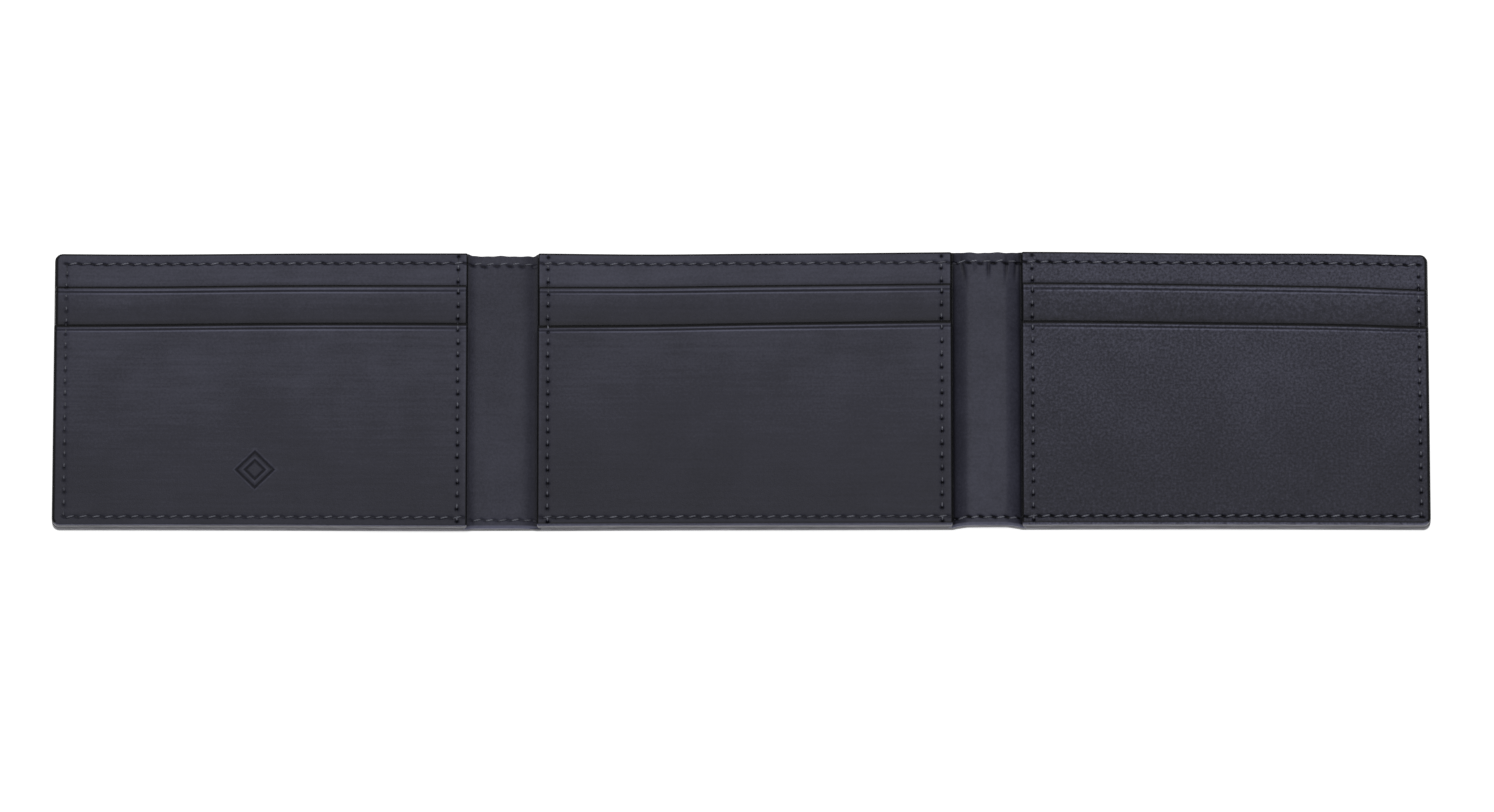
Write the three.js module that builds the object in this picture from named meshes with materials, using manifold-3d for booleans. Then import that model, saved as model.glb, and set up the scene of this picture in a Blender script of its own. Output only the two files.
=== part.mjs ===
// Trifold wallet, opened flat on its outer cover with the card pockets facing up.
// Units are millimetres. +Z is up, +X runs along the row of panels to the right,
// +Y points to the open ends of the pockets. The origin is the centre of the underside.

import * as THREE from "three";
import { mergeVertices } from "three/addons/utils/BufferGeometryUtils.js";
import Module from "manifold-3d";

// ---- Driving dimensions: plan ----

const HEIGHT = 68.4;
const PANEL_WIDTH = { left: 98.6, middle: 98.9, right: 97.4 };
const SPINE_WIDTH = { left: 17.5, right: 16.6 };
const SPINE_EDGE_INSET = 0.4; // the spines are pulled in a little at both long edges
const FREE_CORNER_RADIUS = 1.8;
const SPINE_CORNER_RADIUS = 0.5;
const UPPER_SLOT_DROP = 8.4; // from the top edge to the edge of the upper pocket
const LOWER_SLOT_DROP = 18.0; // from the top edge to the edge of the lower pocket
const UPPER_POCKET_OVERLAP = 6.0; // leather of the upper pocket behind the lower one
const LINING_TOP_DROP = 12.0; // where the fabric tail is glued on, behind the upper pocket
const LINING_BOTTOM_GAP = 6.0;
const INTERLINING_INSET = 6.0;

// ---- Driving dimensions: layers, from the outside in ----

const LAYER_GAP = 0.05;
const COVER_THICKNESS = 1.2;
const INTERLINING_THICKNESS = 0.25;
const LINER_THICKNESS = 0.85;
const BACKING_THICKNESS = 0.7;
const LINING_THICKNESS = 0.2;
const UPPER_POCKET_THICKNESS = 0.65;
const LOWER_POCKET_THICKNESS = 0.75;

// How far each pocket layer stays inside the edge of the cover.
const LINER_INSET = 0.1;
const BACKING_INSET = 0.5;
const UPPER_POCKET_INSET = 0.35;
const LOWER_POCKET_INSET = 0.2;
const LINING_INSET = 4.5;

// ---- Driving dimensions: spines ----

// Each spine bends about two hinge lines, at the ends of its middle slat. The margin is the
// strip of cover and liner that a panel carries past its pockets. The right spine rests in a
// low arch, so there a tilted slat joins each margin to the raised middle slat.
const SPINE_MARGIN = { left: 1.7, right: 1.6 };
const TILTED_SLAT_RUN = { left: 0, right: 3.5 };
const TILT_DEGREES = 14;
const SLAT_NAMES = { left: ["mid"], right: ["inner", "mid", "outer"] };
const SLAT_END_GAP = 0.04;

// ---- Driving dimensions: thread ----

const THREAD_WIDTH = 0.6;
const THREAD_THICKNESS = 0.22;
const THREAD_GAP = 0.04;
const SLAT_THREAD_END_GAP = 0.45;
const STITCH_INSET_TOP = 2.7;
const STITCH_INSET_BOTTOM = 2.1;
const STITCH_INSET_LEFT = { left: 2.9, middle: 1.8, right: 2.2 };
const STITCH_INSET_RIGHT = { left: 2.2, middle: 2.2, right: 2.3 };

// ---- Derived levels ----

const INTERLINING_Z = COVER_THICKNESS + LAYER_GAP;
const LINER_Z = INTERLINING_Z + INTERLINING_THICKNESS + LAYER_GAP;
const HINGE_Z = LINER_Z + LINER_THICKNESS; // top face of a flat liner, where the spines bend
const BACKING_Z = HINGE_Z + LAYER_GAP;
const LINING_Z = BACKING_Z + BACKING_THICKNESS + LAYER_GAP;
const UPPER_POCKET_Z = LINING_Z + LINING_THICKNESS + LAYER_GAP;
const LOWER_POCKET_Z = UPPER_POCKET_Z + UPPER_POCKET_THICKNESS + LAYER_GAP;
const BACKING_TOP = BACKING_Z + BACKING_THICKNESS;
const UPPER_POCKET_TOP = UPPER_POCKET_Z + UPPER_POCKET_THICKNESS;
const LOWER_POCKET_TOP = LOWER_POCKET_Z + LOWER_POCKET_THICKNESS;

const HALF_HEIGHT = HEIGHT / 2;
const SPINE_HALF_HEIGHT = HALF_HEIGHT - SPINE_EDGE_INSET;
const UPPER_SLOT_Y = HALF_HEIGHT - UPPER_SLOT_DROP;
const LOWER_SLOT_Y = HALF_HEIGHT - LOWER_SLOT_DROP;

const TOTAL_WIDTH =
  PANEL_WIDTH.left + SPINE_WIDTH.left + PANEL_WIDTH.middle + SPINE_WIDTH.right + PANEL_WIDTH.right;
const LEFT_EDGE = -TOTAL_WIDTH / 2;
const MIDDLE_LEFT = LEFT_EDGE + PANEL_WIDTH.left + SPINE_WIDTH.left;
const MIDDLE_RIGHT = MIDDLE_LEFT + PANEL_WIDTH.middle;

// Each panel's left and right edges, and which of its sides carry a spine.
const PANELS = {
  left: { from: LEFT_EDGE, to: LEFT_EDGE + PANEL_WIDTH.left, rightSpine: "left" },
  middle: { from: MIDDLE_LEFT, to: MIDDLE_RIGHT, leftSpine: "left", rightSpine: "right" },
  right: { from: MIDDLE_RIGHT + SPINE_WIDTH.right, to: TOTAL_WIDTH / 2, leftSpine: "right" },
};
const SPINES = {
  left: { from: PANELS.left.to, to: MIDDLE_LEFT },
  right: { from: MIDDLE_RIGHT, to: PANELS.right.from },
};

// ---- Materials ----

function makeMaterial(color, roughness) {
  return new THREE.MeshStandardMaterial({ color, roughness, metalness: 0 });
}

const coverLeather = makeMaterial(0x36363e, 0.55);
const pocketLeather = makeMaterial(0x3b3b43, 0.5);
const liningFabric = makeMaterial(0x2a2b31, 0.9);
const interliningBoard = makeMaterial(0x5a4f42, 0.85);
const sewingThread = makeMaterial(0x4c4d57, 0.7);

// ---- Outlines and solids ----

const CORNER_SEGMENTS = 6;
const AXIS_X = new THREE.Vector3(1, 0, 0);
const AXIS_Y = new THREE.Vector3(0, 1, 0);
const AXIS_Z = new THREE.Vector3(0, 0, 1);

function extrude(shape, depth) {
  return new THREE.ExtrudeGeometry(shape, {
    depth,
    bevelEnabled: false,
    curveSegments: CORNER_SEGMENTS,
  });
}

// A rectangle whose corners are rounded, with one radius for each end.
function roundedOutline(x0, x1, y0, y1, leftRadius, rightRadius) {
  const shape = new THREE.Shape();
  shape.moveTo(x0 + leftRadius, y0);
  shape.lineTo(x1 - rightRadius, y0);
  shape.absarc(x1 - rightRadius, y0 + rightRadius, rightRadius, -Math.PI / 2, 0);
  shape.lineTo(x1, y1 - rightRadius);
  shape.absarc(x1 - rightRadius, y1 - rightRadius, rightRadius, 0, Math.PI / 2);
  shape.lineTo(x0 + leftRadius, y1);
  shape.absarc(x0 + leftRadius, y1 - leftRadius, leftRadius, Math.PI / 2, Math.PI);
  shape.lineTo(x0, y0 + leftRadius);
  shape.absarc(x0 + leftRadius, y0 + leftRadius, leftRadius, Math.PI, 1.5 * Math.PI);
  return shape;
}

function cornerRadius(spine, inset) {
  return spine ? SPINE_CORNER_RADIUS : FREE_CORNER_RADIUS - inset;
}

// The outline of a layer that belongs to the pocket stack of one panel.
function stackOutline(panel, inset, y0, y1) {
  const leftRadius = cornerRadius(panel.leftSpine, inset);
  const rightRadius = cornerRadius(panel.rightSpine, inset);
  return roundedOutline(panel.from + inset, panel.to - inset, y0, y1, leftRadius, rightRadius);
}

// The outline of a panel's cover or liner: the panel itself, and a slightly lower tab that
// reaches to the first slat of each spine beside it.
function skinOutline(panel, inset) {
  const y = HALF_HEIGHT - inset;
  const tabY = SPINE_HALF_HEIGHT - inset;
  const radius = FREE_CORNER_RADIUS - inset;
  const shape = new THREE.Shape();
  if (panel.leftSpine) {
    const tabX = panel.from - SPINE_MARGIN[panel.leftSpine] + SLAT_END_GAP;
    shape.moveTo(panel.from, tabY);
    shape.lineTo(tabX, tabY);
    shape.lineTo(tabX, -tabY);
    shape.lineTo(panel.from, -tabY);
    shape.lineTo(panel.from, -y);
  } else {
    const x0 = panel.from + inset;
    shape.moveTo(x0 + radius, y);
    shape.absarc(x0 + radius, y - radius, radius, Math.PI / 2, Math.PI);
    shape.lineTo(x0, radius - y);
    shape.absarc(x0 + radius, radius - y, radius, Math.PI, 1.5 * Math.PI);
  }
  if (panel.rightSpine) {
    const tabX = panel.to + SPINE_MARGIN[panel.rightSpine] - SLAT_END_GAP;
    shape.lineTo(panel.to, -y);
    shape.lineTo(panel.to, -tabY);
    shape.lineTo(tabX, -tabY);
    shape.lineTo(tabX, tabY);
    shape.lineTo(panel.to, tabY);
    shape.lineTo(panel.to, y);
  } else {
    const x1 = panel.to - inset;
    shape.lineTo(x1 - radius, -y);
    shape.absarc(x1 - radius, radius - y, radius, -Math.PI / 2, 0);
    shape.lineTo(x1, y - radius);
    shape.absarc(x1 - radius, y - radius, radius, 0, Math.PI / 2);
  }
  if (panel.leftSpine) {
    shape.lineTo(panel.from, y);
  }
  return shape;
}

function outlineFromPoints(points) {
  return new THREE.Shape(points.map(([x, y]) => new THREE.Vector2(x, y)));
}

// An outline drawn in X and Z becomes a solid that runs along Y.
function extrudeAlongY(shape, y0, y1) {
  const geometry = extrude(shape, y1 - y0);
  geometry.applyMatrix4(new THREE.Matrix4().makeBasis(AXIS_X, AXIS_Z, AXIS_Y.clone().negate()));
  return geometry.translate(0, y1, 0);
}

// An outline drawn in Y and Z becomes a solid that runs along X.
function extrudeAlongX(shape, x0, x1) {
  const geometry = extrude(shape, x1 - x0);
  geometry.applyMatrix4(new THREE.Matrix4().makeBasis(AXIS_Y, AXIS_Z, AXIS_X));
  return geometry.translate(x0, 0, 0);
}

function box(x0, x1, y0, y1, z0, z1) {
  const geometry = new THREE.BoxGeometry(x1 - x0, y1 - y0, z1 - z0);
  return geometry.translate((x0 + x1) / 2, (y0 + y1) / 2, (z0 + z1) / 2);
}

// ---- Joining solids ----

const wasm = await Module();
wasm.setup();

function toSolid(geometry) {
  const bare = geometry.clone();
  bare.deleteAttribute("normal");
  bare.deleteAttribute("uv");
  const merged = mergeVertices(bare);
  const vertProperties = new Float32Array(merged.attributes.position.array);
  const triVerts = new Uint32Array(merged.index.array);
  return new wasm.Manifold(new wasm.Mesh({ numProp: 3, vertProperties, triVerts }));
}

function joinGeometries(geometries) {
  const [first, ...others] = geometries.map(toSolid);
  const joined = others.reduce((sum, solid) => sum.add(solid), first).getMesh();
  const geometry = new THREE.BufferGeometry();
  geometry.setAttribute("position", new THREE.BufferAttribute(joined.vertProperties, 3));
  geometry.setIndex(new THREE.BufferAttribute(joined.triVerts, 1));
  geometry.computeVertexNormals();
  return geometry;
}

// ---- Panels ----

function addMesh(group, name, geometry, material, z = 0) {
  const mesh = new THREE.Mesh(geometry, material);
  mesh.name = name;
  mesh.position.z = z;
  group.add(mesh);
}

// The side view of one row of thread that runs down a panel's side, over the three levels
// of the pocket stack. It steps down just behind the edge of each pocket.
function sideThreadOutline() {
  const levels = [LOWER_POCKET_TOP, UPPER_POCKET_TOP, BACKING_TOP];
  const steps = [LOWER_SLOT_Y, UPPER_SLOT_Y];
  const y0 = -HALF_HEIGHT + STITCH_INSET_BOTTOM;
  const y1 = HALF_HEIGHT - STITCH_INSET_TOP;
  const under = [[y0, levels[0] + THREAD_GAP]];
  const over = [[y0, levels[0] + THREAD_GAP + THREAD_THICKNESS]];
  steps.forEach((y, index) => {
    const high = levels[index] + THREAD_GAP;
    const low = levels[index + 1] + THREAD_GAP;
    const inner = y + THREAD_GAP;
    const outer = inner + THREAD_THICKNESS;
    under.push([inner, high], [inner, low]);
    over.push([outer, high + THREAD_THICKNESS], [outer, low + THREAD_THICKNESS]);
  });
  under.push([y1, levels[2] + THREAD_GAP]);
  over.push([y1, levels[2] + THREAD_GAP + THREAD_THICKNESS]);
  return outlineFromPoints([...under, ...over.reverse()]);
}

function stitchingGeometry(panel, name) {
  const half = THREAD_WIDTH / 2;
  const xLeft = panel.from + STITCH_INSET_LEFT[name];
  const xRight = panel.to - STITCH_INSET_RIGHT[name];
  const yTop = HALF_HEIGHT - STITCH_INSET_TOP;
  const yBottom = -HALF_HEIGHT + STITCH_INSET_BOTTOM;
  const topZ = BACKING_TOP + THREAD_GAP;
  const bottomZ = LOWER_POCKET_TOP + THREAD_GAP;
  const side = sideThreadOutline();
  return joinGeometries([
    extrudeAlongX(side, xLeft - half, xLeft + half),
    extrudeAlongX(side, xRight - half, xRight + half),
    box(xLeft - half, xRight + half, yTop - half, yTop + half, topZ, topZ + THREAD_THICKNESS),
    box(xLeft - half, xRight + half, yBottom - half, yBottom + half, bottomZ,
      bottomZ + THREAD_THICKNESS),
  ]);
}

function interliningOutline(panel) {
  const x0 = panel.from + INTERLINING_INSET;
  const x1 = panel.to - INTERLINING_INSET;
  const y = HALF_HEIGHT - INTERLINING_INSET;
  return roundedOutline(x0, x1, -y, y, FREE_CORNER_RADIUS, FREE_CORNER_RADIUS);
}

function makePanel(name) {
  const panel = PANELS[name];
  const group = new THREE.Group();
  const bottom = -HALF_HEIGHT;
  const backingY = HALF_HEIGHT - BACKING_INSET;
  const upperPocketBottom = LOWER_SLOT_Y - UPPER_POCKET_OVERLAP;
  const backing = stackOutline(panel, BACKING_INSET, -backingY, backingY);
  const upper = roundedOutline(panel.from + UPPER_POCKET_INSET, panel.to - UPPER_POCKET_INSET,
    upperPocketBottom, UPPER_SLOT_Y, SPINE_CORNER_RADIUS, SPINE_CORNER_RADIUS);
  const lining = roundedOutline(panel.from + LINING_INSET, panel.to - LINING_INSET,
    bottom + LINING_BOTTOM_GAP, HALF_HEIGHT - LINING_TOP_DROP, SPINE_CORNER_RADIUS,
    SPINE_CORNER_RADIUS);
  const lower = stackOutline(panel, LOWER_POCKET_INSET, bottom + LOWER_POCKET_INSET, LOWER_SLOT_Y);

  addMesh(group, `${name}_cover`, extrude(skinOutline(panel, 0), COVER_THICKNESS), coverLeather);
  addMesh(group, `${name}_interlining`, extrude(interliningOutline(panel), INTERLINING_THICKNESS),
    interliningBoard, INTERLINING_Z);
  addMesh(group, `${name}_liner`, extrude(skinOutline(panel, LINER_INSET), LINER_THICKNESS),
    coverLeather, LINER_Z);
  addMesh(group, `${name}_pocket_backing`, extrude(backing, BACKING_THICKNESS), pocketLeather,
    BACKING_Z);
  addMesh(group, `${name}_upper_pocket_lining`, extrude(lining, LINING_THICKNESS), liningFabric,
    LINING_Z);
  addMesh(group, `${name}_upper_pocket`, extrude(upper, UPPER_POCKET_THICKNESS), pocketLeather,
    UPPER_POCKET_Z);
  addMesh(group, `${name}_lower_pocket`, extrude(lower, LOWER_POCKET_THICKNESS), pocketLeather,
    LOWER_POCKET_Z);
  addMesh(group, `${name}_stitching`, stitchingGeometry(panel, name), sewingThread);
  return group;
}

// ---- Spines ----

// Where the slats of a spine start and end, seen along Y, on the liner's top face. The two
// middle points are the hinge lines.
function slatEnds(side) {
  const spine = SPINES[side];
  const x0 = spine.from + SPINE_MARGIN[side];
  const x1 = spine.to - SPINE_MARGIN[side];
  const run = TILTED_SLAT_RUN[side];
  const hingeZ = HINGE_Z + run * Math.tan(THREE.MathUtils.degToRad(TILT_DEGREES));
  const hinges = [new THREE.Vector2(x0 + run, hingeZ), new THREE.Vector2(x1 - run, hingeZ)];
  if (run === 0) {
    return hinges;
  }
  return [new THREE.Vector2(x0, HINGE_Z), ...hinges, new THREE.Vector2(x1, HINGE_Z)];
}

function direction(from, to) {
  return to.clone().sub(from).normalize();
}

// The way a layer's thickness is measured where two slats meet: along the line that halves the
// angle between them, so that their ends meet face to face.
function mitreVector(before, after) {
  const normalBefore = new THREE.Vector2(-before.y, before.x);
  const normalAfter = new THREE.Vector2(-after.y, after.x);
  const sum = normalBefore.clone().add(normalAfter);
  return sum.divideScalar(1 + normalBefore.dot(normalAfter));
}

// The section of one slat between two heights above its top face, shortened at both ends.
function slatOutline(points, index, low, high, endGap) {
  const flat = new THREE.Vector2(1, 0);
  const along = direction(points[index], points[index + 1]);
  const before = index > 0 ? direction(points[index - 1], points[index]) : flat;
  const isLast = index === points.length - 2;
  const after = isLast ? flat : direction(points[index + 1], points[index + 2]);
  const startMitre = mitreVector(before, along);
  const endMitre = mitreVector(along, after);
  const start = points[index].clone().addScaledVector(along, endGap);
  const end = points[index + 1].clone().addScaledVector(along, -endGap);
  const corners = [
    start.clone().addScaledVector(startMitre, low),
    end.clone().addScaledVector(endMitre, low),
    end.clone().addScaledVector(endMitre, high),
    start.clone().addScaledVector(startMitre, high),
  ];
  return new THREE.Shape(corners);
}

function makeSlat(side, index) {
  const name = `${side}_spine_${SLAT_NAMES[side][index]}`;
  const points = slatEnds(side);
  const group = new THREE.Group();
  const coverY = SPINE_HALF_HEIGHT;
  const linerY = SPINE_HALF_HEIGHT - LINER_INSET;
  const cover = slatOutline(points, index, -HINGE_Z, COVER_THICKNESS - HINGE_Z, SLAT_END_GAP);
  const liner = slatOutline(points, index, -LINER_THICKNESS, 0, SLAT_END_GAP);
  const thread = slatOutline(points, index, THREAD_GAP, THREAD_GAP + THREAD_THICKNESS,
    SLAT_THREAD_END_GAP);
  const rows = {
    top: HALF_HEIGHT - STITCH_INSET_TOP,
    bottom: -HALF_HEIGHT + STITCH_INSET_BOTTOM,
  };

  addMesh(group, `${name}_cover`, extrudeAlongY(cover, -coverY, coverY), coverLeather);
  addMesh(group, `${name}_liner`, extrudeAlongY(liner, -linerY, linerY), coverLeather);
  for (const [row, y] of Object.entries(rows)) {
    const geometry = extrudeAlongY(thread, y - THREAD_WIDTH / 2, y + THREAD_WIDTH / 2);
    addMesh(group, `${name}_${row}_thread`, geometry, sewingThread);
  }
  return group;
}

// ---- Assembly ----

const wallet = new THREE.Group();
for (const name of Object.keys(PANELS)) {
  wallet.add(makePanel(name));
}
for (const side of Object.keys(SPINES)) {
  for (let index = 0; index < SLAT_NAMES[side].length; index += 1) {
    wallet.add(makeSlat(side, index));
  }
}

export default wallet;
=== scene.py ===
"""The looks of the trifold wallet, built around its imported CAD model.

The script's own unit is the millimetre, in the row frame: +X along the row of panels, +Y to
the pockets' open ends, +Z up. MM turns it into Blender's metres. Where the wallet is, and how
thick its layers are, comes from the frame.
"""

import math

import bpy
import numpy as np
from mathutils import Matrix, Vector


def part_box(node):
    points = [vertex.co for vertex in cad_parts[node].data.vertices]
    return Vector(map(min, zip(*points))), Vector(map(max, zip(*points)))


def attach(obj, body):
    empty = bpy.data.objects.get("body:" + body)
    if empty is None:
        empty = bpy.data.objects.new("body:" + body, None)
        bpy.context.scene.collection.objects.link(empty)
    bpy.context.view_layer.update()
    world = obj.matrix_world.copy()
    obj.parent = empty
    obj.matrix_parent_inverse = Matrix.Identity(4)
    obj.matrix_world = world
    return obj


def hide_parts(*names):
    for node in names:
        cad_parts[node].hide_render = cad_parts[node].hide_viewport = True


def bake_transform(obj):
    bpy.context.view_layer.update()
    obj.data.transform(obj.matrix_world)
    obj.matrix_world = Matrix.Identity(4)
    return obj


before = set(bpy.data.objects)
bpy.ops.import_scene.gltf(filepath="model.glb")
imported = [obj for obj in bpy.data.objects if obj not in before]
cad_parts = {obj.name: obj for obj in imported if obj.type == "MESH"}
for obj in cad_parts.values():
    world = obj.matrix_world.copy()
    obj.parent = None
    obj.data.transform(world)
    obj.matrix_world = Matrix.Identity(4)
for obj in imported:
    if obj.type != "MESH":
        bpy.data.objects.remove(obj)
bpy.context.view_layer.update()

MM = 0.001
PANEL_NAMES = ("left", "middle", "right")

# ---- What the frame says ----


def node_box(name):
    """The lowest and highest corner of a CAD node, in millimetres."""
    low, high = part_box(name)
    return np.array(low) / MM, np.array(high) / MM


THREAD_HALF_WIDTH = 0.3  # the CAD thread's, which puts its rows on their centre lines
STACK_INSET = 0.2  # how far the CAD's lower pockets stay inside the edges of their panels
# How far a panel's pockets reach over the spines west and east of it.
POCKET_REACH = {"left": (0.0, 0.5), "middle": (0.4, 0.0), "right": (0.08, 0.0)}
# How far the rows of stitches along a panel's west and east side are from the CAD's.
SIDE_ROW_SHIFT = {"left": (0.0, 0.3), "middle": (0.35, -0.35), "right": (0.4, 0.0)}

HALF_HEIGHT = node_box("middle_cover")[1][1]
COVER_TOP = node_box("middle_cover")[1][2]
LINER_BOTTOM = node_box("middle_liner")[0][2]
LINER_TOP = node_box("middle_liner")[1][2]
BACKING_BOTTOM, BACKING_TOP = (corner[2] for corner in node_box("middle_pocket_backing"))
UPPER_BOTTOM, UPPER_TOP = (corner[2] for corner in node_box("middle_upper_pocket"))
LOWER_BOTTOM, LOWER_TOP = (corner[2] for corner in node_box("middle_lower_pocket"))
LINING_BOTTOM = node_box("middle_upper_pocket_lining")[0][2]
UPPER_END_Y, UPPER_SLOT_Y = (corner[1] for corner in node_box("middle_upper_pocket"))
LOWER_SLOT_Y = node_box("middle_lower_pocket")[1][1]
TOP_ROW_Y = node_box("middle_stitching")[1][1] - THREAD_HALF_WIDTH
BOTTOM_ROW_Y = node_box("middle_stitching")[0][1] + THREAD_HALF_WIDTH


def panel_span(name):
    """Where a panel's pocket stack starts and ends along X."""
    low, high = node_box(f"{name}_lower_pocket")
    west_reach, east_reach = POCKET_REACH[name]
    return low[0] - STACK_INSET - west_reach, high[0] + STACK_INSET + east_reach


SPANS = {name: panel_span(name) for name in PANEL_NAMES}
SPINE_SPANS = {
    "left": (SPANS["left"][1], SPANS["middle"][0]),
    "right": (SPANS["middle"][1], SPANS["right"][0]),
}
# The CAD slats that each of a spine's two bending pieces stands for, from west to east.
SPINE_SLATS = {
    "left": (("mid",), ("mid",)),
    "right": (("inner", "mid"), ("outer",)),
}
BEND_REACH = 1.0  # how far under a pocket stack the bending pieces of a spine start


def spine_cuts(side):
    """Where a spine's two pieces start, meet and end along X."""
    start, end = SPINE_SPANS[side]
    return start - BEND_REACH, (start + end) / 2, end + BEND_REACH


CUTS = {side: spine_cuts(side) for side in SPINE_SPANS}

# ---- The wallet's own details ----

FREE_CORNER = 1.8
SPINE_CORNER = 0.5
EDGE_GROOVE = 0.05  # the fine gap that shows between two layers at an edge

# How far in, and how far down, each kind of edge is rounded off.
CUT = (0.0, 0.0)  # no rounding: the piece meets the next one here
COVER_EDGE = (0.2, 0.15)
LINER_EDGE = (0.15, 0.12)
SPINE_FRONT_EDGE = (0.85, 0.3)
BACKING_EDGE = (0.6, 0.45)
FRONT_EDGE = {"left": (0.25, 0.22), "middle": (0.6, 0.4), "right": (0.6, 0.4)}
SIDE_EDGE = (0.85, 0.6)
SPINE_SIDE_EDGE = (0.45, 0.4)
UPPER_SLOT_EDGE = (0.72, 0.42)
LOWER_SLOT_EDGE = (1.1, 0.62)
HIDDEN_EDGE = 0.07
CLOTH_EDGE = 0.04
WALL_END = 0.04  # the last bit of an upright wall, which keeps the shading of the rest straight
RIM_BAND = 4.6  # how far in from its edges a cover lies against the liner
BAND_SLOPE = 0.4  # how wide the step is from such a band to the hollow inside it
UNDER_PULL = 1.25  # how much deeper the stitches sink into the underside

# A rounded edge is drawn by lines at these angles round it.
EDGE_ANGLES = (0, 15, 30, 45, 60, 75, 90)
CORNER_STEPS = 7
EDGE_MARGIN = 0.04  # how far other lines stay from a rounded edge
# The closest that two lines of a grid may be: of the layers, the lower pockets and the covers.
FINEST = 0.05
LOWER_FINEST = 0.08
COVER_FINEST = 0.16
# How far apart the grid lines of each layer are where nothing fine is, along X and along Y.
GRID_STEPS = {
    "backing": (2.5, 4.0),
    "upper": (2.0, 1.2),
    "lower": (2.5, 2.5),
    "cover": (3.0, 3.0),
    "liner": (5.0, 5.0),
    "spine": (0.17, 1.2),
}
LINING_LINES = (41, 25)

LINER_INSET = 0.05
BACKING_INSET = 0.08
UPPER_INSET = 0.2
LOWER_INSET = 0.05

STITCH_PITCH = 3.1
CHANNEL_DEPTH = 0.13
CHANNEL_HALF_WIDTH = 0.6
HOLE_DEPTH = 0.55
HOLE_RADIUS = 0.34  # in the side rows
SLANTED_HOLE = (0.82, 0.3)  # half the length and width of a hole in the lengthwise rows
HOLE_SLANT = math.radians(-15)
# How far a hand-punched hole strays along and across its row: size, turn per hole and phase.
HOLE_WANDER = ((0.09, 2.4, 1), (0.063, 1.7, 2))
ROW_END_FADE = 0.9  # how far past its last hole a row still pulls the leather in
EDGE_ROW_INSET = 1.1  # from the long edges to the first hole of a row beside a spine
SPINE_ROW_INSET = 0.7  # from the panels to the first hole of a row across a spine
# How strongly a hole or stitch shows: its mean, and waves of size, turn per hole and phase.
STRENGTH_MEAN = 0.5
STRENGTH_WAVES = ((0.3, 2.9, 1), (0.2, 5.3, 2))
HOLE_VARIETY = 0.3  # how much the holes of a row differ, and its stitches
THREAD_VARIETY = 0.5
STITCH_TUG = 0.25  # how much deeper the thread pulls at a hole than between two
# Grid lines on both sides of a hole along its row, and on both sides of a row.
HOLE_SPREAD = (0.17, 0.35, 0.55, 0.75)
ROW_SPREAD = (0.14, 0.28, 0.42, 0.7, 1.1)
THREAD_RADIUS = 0.18
THREAD_RISE = 0.46  # how far a stitch of a lengthwise row climbs across it
# Rows whose thread nearly fills the holes, and how much of each hole still shows.
TIGHT_ROWS = {
    ("left", "bottom"): 0.3,
    ("left", "west"): 0.35,
    ("left", "top"): 0.6,
    ("middle", "top"): 0.55,
    ("middle", "bottom"): 0.35,
}
SPINE_TIGHT = {"left": (0.6, 0.3), "right": (1.0, 1.0)}  # the top and bottom row of each spine

# From a pocket's mouth down to the tooled crease along it, and to the bead on each side of it.
CREASE_DROP = 1.55
BEAD_DROPS = (1.08, 2.02)
CREASE_DEPTH = 0.12
BEAD_RISE = 0.05
CREASE_HALF_WIDTH = 0.19
HEM_RISE = 0.1
HEM_LENGTH = 7.0
HEM_SLOPE = 2.5
CREASE_END_SHARE = 0.3  # how much of the crease's shading is left at its ends
# The lower pocket swells a little in the middle, from the bottom row up.
LOWER_CROWN = 0.1
CROWN_RAMP = 14.0
# How uneven the leather is: a pocket's face, the backing, the spines and the lining.
FACE_SAG = 0.07
BACKING_SAG = 0.05
SPINE_SAG = 0.04
CLOTH_SAG = 0.03
SEWN_SHARES = (0.995, 0.93)  # where that unevenness ends toward a sewn side, of half the width
SEWN_BAND = {"upper": 3.6, "lower": 3.4}  # how far in from its edges a pocket lies on the backing
UPPER_BAND_TOP = 5.0  # how far above the lower slot the upper pocket leaves the backing
# Below the upper pocket's end: two grid lines, and where the lower pocket rises to clear it.
UNDER_STEPS = (0.1, 0.05, 0.08)
SLOT_REACH = (6.0, 8.0)  # how far below an upper and a lower slot its tilt and bow fade out
# Grid lines, as first, last and step: below a mouth, above it, along a rim and the front line.
MOUTH_LINES = (0.78, 2.6, 0.09)
LIP_LINES = (-1.0, 2.2, 0.2)
RIM_LINES = (0, 2.6, 0.5)
FRONT_LINES = (-1.5, 2.6, 0.5)

# Shades of the leather: 0 is edge paint and the painted shade of needle holes, 0.5 the plain
# leather and 1 its palest, used for painted highlights.
PLAIN = 0.5
BACKING_SHADE = 0.63
SPINE_SHADE = {"left": 0.55, "right": 0.6}
MOUTH_SHADE = {"left": 0.57, "middle": 0.545, "right": 0.575}
FADE = 0.12  # painted shade: how much darker a pocket gets from its mouth down
FADE_START = 1
# Painted highlight along the beads below a pocket's mouth, and painted shade in the crease between
# them.
BEAD_SHADE = 0.42
CREASE_SHADE = 0.26
LIP_SHADE = 0.11  # painted shadow: how much darker a layer is right behind the mouth of the pocket on it
LIP_REACH = 1.3
FRONT_HIGHLIGHT_SHADE = 0.8  # painted highlight on the panels' rounded front edge
SPINE_FRONT_HIGHLIGHT_SHADE = 0.97  # painted highlight on the spines' front edge
RIM_SHADE = 0.07  # how much paler the layers are just inside their edges beside a spine
RIM_HALF_WIDTH = 0.3
# Painted shade: the dark line above the front edge's painted highlight.
FRONT_LINE_SHADE = {"left": 0.15, "middle": 0.75, "right": 0.75}
FRONT_LINE_HALF_WIDTH = 0.2
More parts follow.
